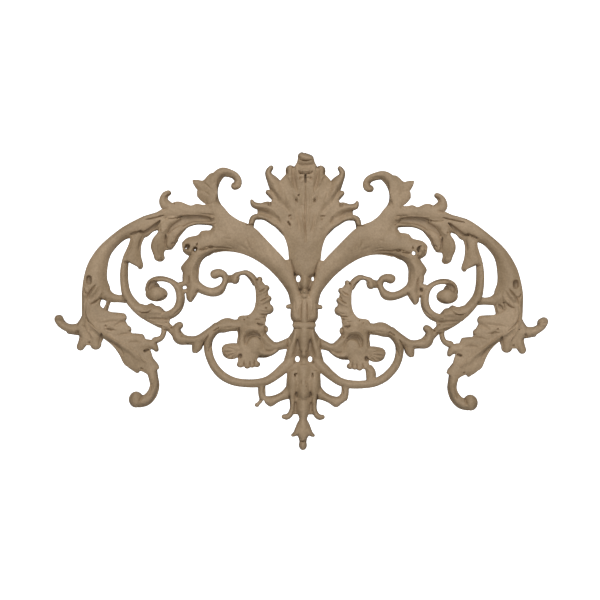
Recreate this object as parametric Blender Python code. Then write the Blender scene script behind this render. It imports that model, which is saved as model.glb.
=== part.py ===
"""An openwork scroll moulding, cast in one piece, for fixing flat to a wall, a frame or furniture.

The back lies on the plane Y = 0 and the relief rises towards -Y. Z is up, and X = 0 is the middle.
Every leaf, scroll and bead is a blade: a smooth outline in the XZ plane with a height that swells
from its edges to its crest. The blades run together into one body, as they do in the mould.
"""
import bpy
import bmesh
import math

MM = 0.001

# Heights above the back, in mm. A plain stem is about 6 high at its crest.
VEIN_HEIGHT = 7.4          # raised veins and midribs
BOSS_HEIGHT = 8.2          # round knobs and volute eyes
FAN_HEIGHT = 8.6           # flutes of the fan
ROLL_HEIGHT = 12.0         # the rolled tip of the fan, the highest point
BALUSTER_HEIGHT = 9.2      # the little turned column in the middle
HOLLOW_HEIGHT = 2.8        # floors of the folded hollows
WELL_HEIGHT = 2.0          # floors of the deep wells beside the column
THIN_HEIGHT = 3.6          # webs and links
BURIED = 2.0               # every blade reaches this far behind the back before it is cut flat
EDGE = 0.46                # height of a blade's edge, as a share of its crest
TIP = 0.6                  # height of a rounded end's tip, as a share of its crest
KNOB_EDGE = 0.5            # height of a knob's rim, as a share of its crest
ROUND = 2.2                # exponent of a rounded section
KEEL = 1.25                # exponent of a sharper, keeled section
ACROSS = (0.0, 0.16, 0.5, 0.84, 1.0)       # places of the points across a section
RING_STEP = 1.9            # spacing of the sections along a blade
SKIN = 0.8                 # finest detail that the moulded skin keeps
KEPT_FACES = 0.0535        # share of the skin's faces that are kept
SLAB = 400.0               # side of the block that cuts the back flat
DRILL_SIDES = 12
DRILL_TAPER = (0.8, 1.25)  # widths of a drill at its floor and above the relief, as shares of the hole

OBJECT_NAME = "scroll_applique"

# The moulding was modelled by hand, and its right half isn't an exact mirror of the left.
# Each entry is a place on the half (x, z) and how far it has moved there (dx, dz).
RIGHT_HALF_DRIFT = {"top_curl": (41, 69, -5.3, -0.8), "curl_top": (47, 78, -3.6, -1.6),
                    "curl_shoulder": (54, 68, -2.4, 0.0), "flap_tip": (66, 70, -3.3, 1.2),
                    "arm_top": (60, 57, 0.0, 0.5), "hook": (83, 62, -3.6, 0.0),
                    "stem_head": (96, 50, 0.0, 0.4), "stem_bend": (112, 38, -1.4, -0.6),
                    "stem_side": (125, 20, -2.8, 0.0), "stem_foot": (131, -4, -2.2, 0.0),
                    "branch": (108, 16, -3.1, 0.0), "husk_tip": (99, 20, -3.0, 1.0),
                    "branch_foot": (101, -4, -2.6, 1.4), "claw": (87, 28, -2.0, 0.4),
                    "spiral_eye": (90, 5, -4.1, 0.0), "spiral_top": (82, 12, -3.6, 0.0),
                    "spiral_back": (74, 0, -1.8, 0.0), "heel": (86, -13, -1.4, 0.8),
                    "drilled_eye": (69, 34, 0.0, -0.8), "leaf_husk": (68, 2, -2.2, -0.3),
                    "volute": (54, 14, -2.4, -1.8), "inward_curl": (40, 13, -2.0, -2.4),
                    "column": (26, 2, -0.9, -1.2), "ribbon": (56, -18, 0.0, -1.6),
                    "hooked_branch": (74, -18, -1.0, -0.8), "mask": (34, -33, -0.6, -0.9),
                    "scroll_foot": (36, -50, 0.0, 0.0), "upper_lobe": (106, -13, -3.1, 0.6),
                    "middle_lobe": (101, -22, -1.8, -0.6), "strut": (84, -22, -1.6, -0.6),
                    "inner_lobe": (88, -36, -0.9, -1.6), "heel_tip": (101, -43, -1.0, 0.0),
                    "low_lobes": (129, -27, -3.3, 0.7), "side_curl": (146, -12, -3.8, 1.9),
                    "curl_neck": (137, -18, -2.4, 1.0), "bottom_curl": (95, -57, 0.1, 0.3),
                    "horn": (21, 78, -0.3, 0.0), "wing": (31, 58, 0.0, 0.0), "fan": (12, 50, 0.0, 0.0),
                    "calyx": (12, -45, 0.0, 0.0), "waist": (12, -5, 0.0, 0.0), "arm": (34, 36, -0.4, 0.0)}
DRIFT_REACH = 11.0         # how far around its place each drift is felt


def clear_scene():
    for item in list(bpy.data.objects):
        bpy.data.objects.remove(item, do_unlink=True)


def plaster_material():
    material = bpy.data.materials.new("tan_composition")
    material.use_nodes = True
    shader = material.node_tree.nodes["Principled BSDF"]
    shader.inputs["Base Color"].default_value = (0.36, 0.27, 0.18, 1.0)
    shader.inputs["Roughness"].default_value = 0.62
    shader.inputs["Metallic"].default_value = 0.0
    return material


def smooth_rows(rows):
    """Rows of numbers on a smooth curve through the given rows, about RING_STEP apart."""
    if len(rows) < 3:
        padded = [rows[0], rows[0], rows[-1], rows[-1]]
    else:
        padded = [rows[0], *rows, rows[-1]]
    out = []
    for a, b, c, d in zip(padded, padded[1:], padded[2:], padded[3:]):
        run = math.dist(b[:2], c[:2])
        steps = max(1, round(run / RING_STEP))
        for k in range(steps):
            t = k / steps
            out.append([
                0.5 * (2 * q + (r - p) * t + (2 * p - 5 * q + 4 * r - s) * t ** 2
                       + (3 * q - p - 3 * r + s) * t ** 3)
                for p, q, r, s in zip(a, b, c, d)])
    out.append(list(rows[-1]))
    return out


def blade(rungs, curve=ROUND, edge=EDGE):
    """A blade across rungs (xa, za, xb, zb, crest) that go from one edge to the other."""
    return rings_of(smooth_rows(rungs), curve, edge)


def scroll(spine, curve=ROUND, edge=EDGE, round_start=False, round_end=True):
    """A blade along a spine (x, z, half width, crest), with rounded ends where asked."""
    rows = smooth_rows(spine)
    count = len(rows)
    headings = []
    for k in range(count):
        back, ahead = rows[max(0, k - 1)], rows[min(count - 1, k + 1)]
        run = math.dist(back[:2], ahead[:2])
        headings.append(((ahead[0] - back[0]) / run, (ahead[1] - back[1]) / run))
    rungs = [(x, z, hx, hz, half, crest) for (x, z, half, crest), (hx, hz) in zip(rows, headings)]
    if round_end:
        rungs += end_rungs(rungs[-1], 1.0)
    if round_start:
        rungs = end_rungs(rungs[0], -1.0)[::-1] + rungs
    laid = [(x - hz * half, z + hx * half, x + hz * half, z - hx * half, crest)
            for x, z, hx, hz, half, crest in rungs]
    return rings_of(laid, curve, edge)


def rings_of(laid, curve, edge):
    """The sections of a blade, one on each rung, as rings of points in mm."""
    rings = []
    for xa, za, xb, zb, crest in laid:
        ring = [(xa, BURIED, za)]
        for share in ACROSS:
            swell = 1.0 - abs(2.0 * share - 1.0) ** curve
            rise = crest * (edge + (1.0 - edge) * swell)
            ring.append((xa + (xb - xa) * share, -rise, za + (zb - za) * share))
        ring.append((xb, BURIED, zb))
        rings.append(ring)
    return rings


def end_rungs(last, sign):
    """Extra rungs that round off an end of a scroll."""
    x, z, hx, hz, half, crest = last
    out = []
    for turn in (35.0, 62.0, 80.0):
        lean = math.radians(turn)
        reach = half * math.sin(lean) * sign
        out.append((x + hx * reach, z + hz * reach, hx, hz, half * math.cos(lean),
                    crest * (TIP + (1.0 - TIP) * math.cos(lean))))
    return out


def boss(x, z, half_x, half_z, crest):
    """A round or oval knob."""
    rows = []
    for turn in range(-80, 81, 20):
        lean = math.radians(turn)
        half = half_x * math.cos(lean)
        rows.append((x - half, z + half_z * math.sin(lean), x + half, z + half_z * math.sin(lean),
                     crest * (KNOB_EDGE + (1.0 - KNOB_EDGE) * math.cos(lean))))
    return rings_of(rows, ROUND, EDGE)


def turned(stations):
    """A little turned form on the axis, from stations (z, radius, crest)."""
    return blade([(-radius, z, radius, z, crest) for z, radius, crest in stations])


def fan():
    """The palmette above the middle: a body, three flutes a side, a nub, and the rolled tip."""
    low = HOLLOW_HEIGHT + 1.6
    flute = FAN_HEIGHT
    body = blade([(-4.8, 15, 4.8, 15, 6.4), (-7.6, 20, 7.6, 20, 7.0), (-9.4, 25, 9.4, 25, 7.4),
                  (-9.8, 31, 9.8, 31, 7.4), (-12.0, 37, 12.0, 37, 7.0), (-17, 42.6, 17, 42.6, 6.6),
                  (-21, 48, 21, 48, 6.4), (-22, 54, 22, 54, 6.2), (-20.5, 60, 20.5, 60, 6.0),
                  (-19, 66, 19, 66, 6.0), (-14, 73, 14, 73, 6.4), (-6.5, 80, 6.5, 80, 7.4)])
    middle = [scroll([(2.0, 30, 2.4, flute - 0.8), (2.3, 46, 2.5, flute), (2.5, 62, 2.5, flute),
                      (2.9, 73.5, 2.5, flute)])]
    shoulder = [scroll([(4.6, 30, 2.2, flute - 1.2), (6.4, 46, 2.6, flute - 0.4),
                        (7.6, 60, 2.7, flute - 0.4), (9.0, 72, 2.9, flute),
                        (9.2, 78.4, 2.7, flute)])]
    horn = [scroll([(8.5, 36, 2.2, flute - 2), (11.5, 50, 3.2, flute - 1.4), (14.8, 61, 3.8, flute - 1),
                    (18.6, 69.6, 3.7, flute - 1), (22.0, 74.6, 2.0, 7.2), (22.4, 77.2, 1.6, 6.6),
                    (20.8, 79.5, 1.2, 6)])]
    nub = [scroll([(17, 60.6, 2.2, 6.8), (20.2, 63.4, 2.1, 6.6), (22.4, 64.7, 1.4, 6.2)])]
    wing = [scroll([(12.5, 43, 2.6, 6.8), (17, 51, 3.8, 7.2), (22, 55.4, 3.6, 7.0),
                    (27, 56.0, 2.0, 6.4), (31, 57.2, 1.6, 5.8), (32.2, 59.4, 0.8, 5.0)])]
    tendril = [scroll([(15.5, 43.2, 1.8, 6.4), (19.4, 47.0, 1.6, 6.6), (24, 49.6, 1.5, 6.6),
                       (28.6, 50.1, 1.5, 6.4), (31.4, 48.9, 1.6, 6.2), (32.2, 46.3, 1.5, 6.0),
                       (32.6, 44.4, 1.5, 6.0)])]
    web = [blade([(12, 39, 15, 39, low), (17, 46, 19.5, 44.6, low), (23, 54.5, 24.5, 48.2, low),
                  (28.6, 54.0, 28.4, 48.4, low)])]
    finial = [blade([(-6.2, 77, 6.2, 77, 7.6), (-5.2, 81.5, 5.2, 81.5, 8.6), (-4.6, 84, 4.6, 84, 9.6)]),
              scroll([(-2.6, 86.3, 2.5, 11), (0, 85.2, 2.9, ROLL_HEIGHT), (2.2, 84.8, 2.6, 11)],
                     round_start=True),
              scroll([(-3.4, 77.2, 1.5, 9.4), (0, 78.0, 1.6, 10.2), (3.4, 77.2, 1.5, 9.4)],
                     round_start=True)]
    return [body] + finial, middle + shoulder + horn + nub + wing + tendril + web


def baluster():
    """The turned column, its petals, band, shaft and beads, with the leaves beside the shaft."""
    tall = BALUSTER_HEIGHT
    vase = turned([(15.2, 2.6, 7.0), (12.9, 3.4, tall), (10.4, 2.8, tall - 0.6), (7.6, 1.2, 6.6)])
    bead = boss(0, 4.9, 2.0, 1.9, tall - 1.0)
    collar = boss(0, 0.6, 3.0, 1.8, tall - 1.2)
    block = blade([(-7.4, 2.5, 7.4, 2.5, 6.2), (-7.8, -3, 7.8, -3, 6.4), (-8.0, -8, 8.0, -8, 6.2),
                   (-6.6, -12.4, 6.6, -12.4, 5.2), (-6.2, -17.5, 6.2, -17.5, 5.2),
                   (-8.6, -21.5, 8.6, -21.5, 4.6), (-9.9, -25, 9.9, -25, HOLLOW_HEIGHT),
                   (-10.1, -33.2, 10.1, -33.2, HOLLOW_HEIGHT)])
    petal = scroll([(0, 0.4, 1.5, tall - 0.8), (0, -6, 1.7, tall), (0, -12, 1.2, tall - 1)])
    band = scroll([(-5.4, -14.8, 1.5, 7.6), (0, -14.9, 1.7, 8.6), (5.4, -14.8, 1.5, 7.6)],
                  round_start=True)
    shaft = turned([(-16.6, 4.0, 7.8), (-20, 3.7, 8.6), (-25, 2.7, 7.6), (-30, 2.1, 6.2)])
    lower_bead = boss(0, -32.2, 2.1, 1.9, 8.0)
    foot = blade([(-2.2, -33, 2.2, -33, 5.0), (-2.2, -38.5, 2.2, -38.5, 5.4)])
    side_petal = scroll([(4.3, 1.5, 2.3, 7.4), (4.4, -5, 2.6, 8.2), (4.2, -9.6, 2.4, 7.8)])
    nub = scroll([(7.0, -3.4, 1.3, 5.4), (9.8, -3.8, 1.1, 4.8)])
    side_leaf = scroll([(4.9, -16.6, 1.2, 6.0), (5.6, -22, 1.5, 7.0), (7.6, -28, 1.5, 6.6),
                        (9.3, -32.6, 1.3, 5.6)])
    side_web = blade([(5.2, -33, 10.8, -33, 4.4), (5.4, -36.6, 11.6, -35.4, 4.8),
                      (4.0, -39, 12, -39, 5.2)])
    return ([vase, bead, collar, block, petal, band, shaft, lower_bead, foot],
            [side_petal, nub, side_leaf, side_web])


def calyx_and_drop():
    """The leafy cup below the baluster, its two hooks, and the hanging drop."""
    cup = blade([(-8.2, -37.2, 8.2, -37.2, 4.4), (-9.6, -41, 9.6, -41, 6.4), (-9.9, -46, 9.9, -46, 7.0),
                 (-10.2, -51, 10.2, -51, 6.6), (-10.4, -56, 10.4, -56, 5.4), (-7.4, -60, 7.4, -60, 4.4)])
    tongue = turned([(-38.5, 5.0, 6.6), (-42, 5.0, 8.4), (-48, 4.2, 8.2), (-54, 4.3, 8.6),
                     (-57.4, 3.4, 8.2), (-59.4, 1.6, 6.4)])
    stem = turned([(-56, 4.4, 5.2), (-60, 4.3, 6.2), (-65, 4.0, 6.6), (-68.6, 2.9, 6.2),
                   (-71.3, 2.1, 5.8), (-74.2, 3.6, 6.6), (-77.4, 4.5, 7.0), (-80.4, 3.8, 6.6),
                   (-82.4, 2.4, 6.2), (-85, 1.9, 5.0)])
    drop = boss(0, -86.8, 2.2, 2.8, 6.2)
    side_tongue = scroll([(6.6, -43, 2.4, 6.4), (7.2, -49, 2.4, 7.6), (6.9, -55, 2.2, 7.2)])
    hook = scroll([(6.6, -55, 2.0, 6.6), (6.5, -60, 1.6, 6.0), (6.7, -65, 1.2, 5.6),
                   (8.0, -68.7, 1.4, 5.2), (10.2, -70.2, 1.3, 4.8), (11.8, -69.9, 0.9, 4.2)])
    flare = scroll([(2.6, -77.4, 2.1, 6.4), (4.6, -80.0, 1.3, 5.4), (6.3, -81.0, 0.7, 4.2)])
    crotch = blade([(3.6, -58, 7.6, -58, HOLLOW_HEIGHT), (3.6, -66.4, 6.4, -66.4, HOLLOW_HEIGHT),
                    (3.0, -68.2, 5.8, -68.2, HOLLOW_HEIGHT)])
    return [cup, tongue, stem, drop], [side_tongue, hook, flare, crotch]


def arm():
    """The broad band that rises from the middle and opens into the upper and lower leaves."""
    band = blade([(1.8, 1.5, 8.3, -1.5, 6.6), (3.6, 7, 9.8, 4.5, 7.0), (5.8, 13, 13.4, 10.0, 7.0),
                  (8.0, 19, 18.0, 15.4, 6.8), (12.3, 24.6, 22.8, 19.8, 6.6),
                  (18.0, 30.6, 28.2, 23.5, 6.4), (23.8, 36.6, 34.2, 26.6, 6.4),
                  (29.9, 42.6, 41, 28.6, 6.4), (35.4, 45.8, 48.5, 29.2, 6.6),
                  (42, 48.0, 54.0, 28.2, 6.4)], curve=1.9)
    spread = blade([(38, 46.4, 44, 33, 6.0), (45, 50.8, 51, 37.5, 6.2), (50.4, 56.6, 53.4, 44.6, 6.2),
                    (54, 57.8, 57, 48.4, 6.2)])
    web = blade([(9.0, 18.4, 5.0, 14.8, THIN_HEIGHT), (8.4, 22.6, 11.8, 23, THIN_HEIGHT),
                 (9.0, 24.4, 12.6, 24.4, THIN_HEIGHT)])
    well = blade([(0.5, 0, 5.5, 0, WELL_HEIGHT), (0.5, 8, 6.5, 8, WELL_HEIGHT),
                  (0.5, 16.5, 7.5, 16.5, WELL_HEIGHT)])
    return [band, spread, web, well]


def upper_leaf():
    """The leaf above the arm: the inward curl, two flaps, the long top band and its hook."""
    curl = scroll([(51.5, 51, 4.2, 6.4), (55.2, 57.5, 3.7, 6.6), (56.2, 64, 3.3, 6.6),
                   (55.2, 69.6, 3.1, 6.8), (52.9, 74.0, 3.0, 6.8), (49.8, 76.4, 2.6, 6.6),
                   (46.2, 76.0, 2.2, 6.2), (42.5, 74.4, 2.0, 6.0), (40.6, 71.6, 2.0, 6.0),
                   (41.0, 69.0, 2.2, 6.2), (42.5, 68.3, 2.1, 6.4)])
    high_flap = blade([(54, 74.8, 54, 60, 5.6), (58.4, 73.6, 58, 62.6, 5.4),
                       (61.4, 70.9, 62.6, 64.8, 5.0), (64.6, 71.3, 65, 66.2, 4.6),
                       (67.8, 71.2, 67.4, 69.8, 4.0)])
    low_flap = blade([(54, 67, 54.6, 56.4, 5.6), (58.6, 67.6, 59.2, 57.4, 5.4),
                      (62.2, 67, 62.4, 59.6, 5.0), (64.8, 64.8, 64.5, 62.0, 4.2)])
    top_band = blade([(54, 58, 54, 48.4, 6.2), (60.4, 56.6, 60, 49.6, 6.2), (67.6, 56.0, 67, 50.0, 6.4),
                      (75.5, 58.2, 74.4, 49.8, 6.4), (80, 57.4, 79.4, 49.4, 6.2),
                      (85.8, 53.8, 84.6, 49.0, 5.8), (90, 51.4, 89, 46.4, 5.2)])
    hook = scroll([(80.5, 54.5, 2.8, 6.0), (84.2, 57.0, 3.0, 6.0), (85.1, 60.2, 2.2, 5.8),
                   (83.9, 62.7, 1.7, 5.4), (82.3, 63.7, 1.4, 5.0)])
    return [curl, high_flap, low_flap, top_band, hook]


def folded_hollow():
    """The arched hollow under the top band, its thin lower rim, its shoulder and the claw."""
    floor = blade([(54, 50, 54, 44.2, HOLLOW_HEIGHT), (60, 50.4, 60, 44.9, HOLLOW_HEIGHT),
                   (68, 50.4, 67.4, 44.9, HOLLOW_HEIGHT), (77, 48.5, 73.2, 42.6, HOLLOW_HEIGHT),
                   (82, 42.5, 76.6, 37, HOLLOW_HEIGHT), (85.0, 34, 77.8, 33.0, HOLLOW_HEIGHT),
                   (84.4, 29.4, 80.2, 29.9, HOLLOW_HEIGHT)])
    rim = scroll([(53.6, 46.4, 1.6, 5.4), (59.5, 46.2, 1.1, 5.4), (65.5, 46.1, 1.0, 5.6),
                  (70.6, 44.9, 1.2, 5.6), (75.4, 41.8, 1.4, 5.6), (78.8, 37.4, 1.6, 5.6),
                  (80.9, 32.2, 1.6, 5.2)])
    shoulder = scroll([(75.5, 49.0, 1.6, 5.6), (81.5, 46.6, 3.2, 6.2), (85.6, 42.4, 3.0, 6.4)])
    claw = blade([(81.8, 47, 87, 44.4, 6.4), (80.8, 42, 88.2, 39.8, 6.6), (82.6, 36.8, 91.2, 35.8, 6.6),
                  (83.6, 31.6, 92.2, 31.0, 6.4), (84.9, 27.2, 90.7, 26.8, 6.0),
                  (84.3, 24.2, 89.8, 23.8, 5.6), (86.2, 22.6, 87.8, 22.6, 4.8)])
    return [floor, rim, shoulder, claw]


def outer_stem():
    """The big outer arc with its split top, and the inner branch that drops from it with a husk."""
    strip = scroll([(84.4, 51.9, 1.5, 5.2), (90.2, 50.2, 1.3, 5.4), (97, 48.2, 1.2, 5.6)])
    second = blade([(84.6, 49.2, 83.4, 45.6, 5.6), (91, 49.6, 89.2, 43.8, 5.6),
                    (97, 49.2, 94.6, 40.4, 6.0), (102.4, 46.6, 100.6, 38.4, 6.2)])
    arc = blade([(98, 48.9, 95.5, 40.2, 6.2), (105.4, 45.0, 102.6, 37.4, 6.6),
                 (111.4, 41.2, 108.8, 35.2, 6.6), (119.4, 34.6, 114.4, 29.8, 6.6),
                 (125.2, 28.4, 117.3, 25.0, 6.6), (129.9, 20.4, 118.7, 18.6, 6.6),
                 (132.3, 12, 118.8, 11.6, 6.6), (133.2, 4, 117.0, 5.0, 6.4),
                 (133.2, -3, 121.0, 0.2, 6.2)])
    shelf = blade([(88.4, 46.4, 88.0, 41.8, THIN_HEIGHT), (93, 44.4, 91.6, 40.4, THIN_HEIGHT),
                   (99, 41.6, 95.6, 37.2, THIN_HEIGHT), (106, 39, 104.8, 35.8, THIN_HEIGHT)])
    husk = blade([(95.6, 38.8, 104.4, 37.6, 5.2), (98.2, 33.4, 105.2, 33.6, 5.8),
                  (98.8, 28.6, 107.2, 28.6, 6.0), (98.4, 24.6, 108.6, 24.6, 5.8),
                  (97.4, 21.2, 104.8, 21.6, 5.2), (97.3, 19.2, 100.4, 19.4, 4.6),
                  (98.5, 17.8, 99.5, 17.9, 3.8)])
    branch = blade([(105.8, 28, 107.6, 28, 5.2), (106.0, 23, 109.4, 23, 5.6), (106.3, 16, 110.5, 16, 5.8),
                    (105.9, 9, 110.3, 9, 5.8), (104.4, 3.6, 109.2, 2.4, 5.8),
                    (101.2, -0.8, 106.2, -3.0, 5.8), (97.0, -4.5, 101.8, -8.0, 5.8),
                    (92.0, -4.4, 96.8, -12.0, 5.6)])
    bridge = blade([(108.4, 2.6, 106.8, -2.6, THIN_HEIGHT), (111, 1.9, 111, -2.1, THIN_HEIGHT),
                    (115.2, 3.2, 116, -2, THIN_HEIGHT + 0.6), (118.6, 7.4, 122, -0.4, THIN_HEIGHT + 1.6)])
    tie = scroll([(117.3, -0.6, 1.2, THIN_HEIGHT), (118.3, -4, 1.0, THIN_HEIGHT),
                  (119.6, -7.4, 1.4, THIN_HEIGHT)])
    return [strip, second, arc, shelf, husk, branch, bridge, tie]


def terminal_leaf():
    """The leaf that ends the outer stem: midrib, lobes, side curl, two lower lobes and bottom curl."""
    body = blade([(121.4, 1.4, 133.2, -2, 6.0), (122.8, -4.4, 133.1, -8.6, 6.0),
                  (117.6, -7.8, 132.4, -15, 5.6), (112, -9.4, 127.2, -20.4, 5.2),
                  (107, -14.4, 120.6, -23.6, 5.0), (103.6, -20.8, 114.6, -28.2, 5.0),
                  (97, -22.2, 110.6, -33.4, 5.0), (94, -27.0, 107.4, -39.4, 5.2),
                  (93, -33.2, 102.6, -42.0, 5.4), (89.6, -38.4, 96.2, -43.0, 5.4),
                  (87.2, -41.4, 92.6, -45.8, 5.2)])
    midrib = scroll([(129.5, -2, 1.6, VEIN_HEIGHT), (129.4, -10, 1.7, VEIN_HEIGHT),
                     (124.6, -18.4, 1.6, VEIN_HEIGHT), (115, -24.6, 1.4, VEIN_HEIGHT),
                     (106, -29.6, 1.8, VEIN_HEIGHT), (98, -36.4, 2.2, VEIN_HEIGHT - 0.4),
                     (91, -42, 2.4, VEIN_HEIGHT - 0.8)], curve=KEEL)
    lobes = [scroll([(124, -10.6, 3.2, 6.6), (115.6, -11.6, 3.0, 6.4), (109.4, -11.4, 2.5, 5.6)]),
             scroll([(118.6, -18.8, 2.4, 6.4), (110.6, -19.2, 2.6, 6.2), (106.2, -18.6, 2.2, 5.4)]),
             scroll([(110, -24.0, 2.2, 6.2), (103, -23.8, 2.6, 6.2), (98.0, -23.2, 1.9, 5.2)]),
             scroll([(101, -27.4, 2.4, 5.6), (93.5, -27.2, 2.7, 5.6), (90.0, -28.4, 2.2, 5.2),
                     (88.6, -30.4, 1.2, 4.4)]),
             scroll([(97.5, -35.2, 2.4, 6.0), (93.4, -36.2, 2.2, 5.8), (89.4, -40.6, 2.2, 5.4)])]
    heel = scroll([(106, -36.2, 3.2, 5.2), (102.4, -40.6, 2.4, 4.8), (99.9, -43.6, 1.0, 4.0)])
    fold = scroll([(121.4, 4.4, 1.6, 6.4), (124.8, -0.4, 1.4, 6.6), (128.2, -4.6, 1.2, 6.2)], curve=KEEL)
    rim = scroll([(131.6, 6, 1.5, 6.6), (131.9, -2, 1.2, 6.4), (131.6, -10, 1.4, 6.4),
                  (134.4, -17, 2.4, 6.0)])
    side_curl = scroll([(132.4, -17.8, 3.6, 5.8), (137.6, -18.6, 2.9, 5.6), (142.6, -17.5, 2.2, 5.4),
                        (146.0, -15.0, 2.3, 5.8), (147.2, -12.7, 2.4, 6.6)])
    spur = scroll([(136, -19.4, 2.8, 4.6), (141.2, -20.2, 1.2, 4.0)])
    low_lobes = [scroll([(128.4, -17, 2.6, 6.2), (126, -23, 3.2, 5.6), (125.0, -27.4, 2.9, 5.0)]),
                 scroll([(132.6, -17.5, 2.8, 6.0), (132.0, -24, 2.4, 5.4), (134.0, -29.0, 1.9, 4.8)]),
                 blade([(121, -18, 133, -20, 4.2), (120.8, -24.0, 134.2, -24.0, 3.8),
                        (123.4, -28.0, 132.6, -28.0, 3.4)])]
    curl = scroll([(91.6, -41.5, 3.2, 5.6), (90.2, -47, 2.6, 5.8), (89.4, -52, 2.6, 5.8),
                   (91.0, -57.2, 2.9, 6.0), (94.6, -60.9, 3.2, 6.2), (98.4, -61.4, 3.7, 6.6)])
    eye = boss(100.4, -60.5, 4.1, 4.6, BOSS_HEIGHT - 0.8)
    return [body, midrib, heel, fold, rim, side_curl, spur, curl, eye] + lobes + low_lobes


def lower_leaf():
    """The leaf with the drilled eye, the stem that drops from it to a husk, and the small volute."""
    head = blade([(45, 46, 50, 29.4, 6.2), (54.2, 41.6, 54.4, 28.4, 6.4), (60, 40.5, 58.6, 26.2, 6.6),
                  (65, 38.2, 63.6, 26.4, 6.6), (70.6, 36.8, 69.8, 26.4, 6.4),
                  (73.7, 33.8, 73.0, 28.6, 5.6)])
    stem = blade([(57, 27.4, 68, 31, 6.0), (61.4, 24.0, 69.4, 25.6, 6.6), (63.2, 20.2, 72.0, 21.6, 6.6),
                  (63.8, 15.8, 73.6, 17.2, 6.4), (63.7, 11.8, 72.6, 12.0, 6.4),
                  (62.6, 8.4, 70.8, 7.4, 6.0), (64.6, 3.4, 70.9, 3.0, 5.6), (66.6, 0.2, 70.4, 0.0, 5.0),
                  (67.8, -1.5, 69.0, -1.5, 4.2)])
    vein = scroll([(58, 29.2, 1.2, 6.8), (64.5, 24.4, 1.6, VEIN_HEIGHT), (67.6, 17, 1.7, VEIN_HEIGHT),
                   (67.3, 9, 1.5, 6.8), (68.6, 1, 1.0, 5.4)], curve=KEEL)
    ear = scroll([(70.4, 19, 1.8, 5.6), (71.6, 14, 1.6, 5.4), (71.8, 9.8, 1.5, 5.0),
                  (74.6, 8.6, 1.6, 4.6)])
    link = scroll([(69.8, 5.2, 1.1, 4.0), (73.4, 4.6, 1.0, 4.0)])
    volute = scroll([(64.6, 8.0, 2.8, 5.8), (60, 5.4, 2.4, 5.6), (55, 4.1, 2.3, 5.6),
                     (51.1, 5.3, 2.3, 5.6), (48.8, 8.6, 1.8, 5.6), (47.5, 12, 1.6, 5.6),
                     (48.6, 15, 1.9, 5.8), (51.4, 16, 2.3, 6.2), (53.9, 15.2, 2.6, 6.8)])
    neck = scroll([(48.0, 12.4, 2.4, 4.6), (44.8, 12.4, 2.1, 4.4), (41.6, 13.0, 2.4, 5.4)])
    return [head, stem, vein, ear, link, volute, neck]


def c_scroll():
    """The middle C-scroll with its spiral eye, its leafy heel and the strut below it."""
    ring = scroll([(84.4, -10.4, 2.4, 6.0), (79.6, -8.9, 2.4, 6.2), (76, -5.6, 2.4, 6.2),
                   (74.4, -1, 2.35, 6.2), (74.6, 3.2, 2.3, 6.2), (76, 7.0, 2.0, 6.0),
                   (79, 10.0, 1.4, 5.8), (82.4, 11.6, 1.3, 5.8), (86.2, 12.2, 1.4, 5.8),
                   (90, 11.3, 1.6, 5.8), (92.9, 8.9, 1.9, 5.8), (93.6, 5.4, 2.0, 5.8)])
    floor = boss(90.6, 6.6, 3.6, 3.6, HOLLOW_HEIGHT)
    eye = boss(88.8, 3.0, 6.4, 4.3, BOSS_HEIGHT)
    heel = blade([(98.6, -3.6, 102.8, -7.2, 5.6), (91.8, -3.5, 96.4, -12.0, 5.6),
                  (86.6, -5.0, 91.2, -15.0, 5.4), (83.4, -7.8, 86.4, -17.2, 5.0),
                  (80.4, -10.6, 82.0, -17.4, 4.6)])
    husk = scroll([(96.6, -7.8, 2.2, 6.6), (91.6, -7.2, 3.0, 7.2), (87, -7.6, 2.2, 6.6)],
                  round_start=True)
    strut = scroll([(84.2, -16.5, 1.5, 4.6), (84.3, -20.4, 1.3, 4.4), (86.0, -23.6, 1.4, 4.6),
                    (89.4, -24.9, 1.8, 5.0)])
    return [ring, floor, eye, heel, husk, strut]


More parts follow.
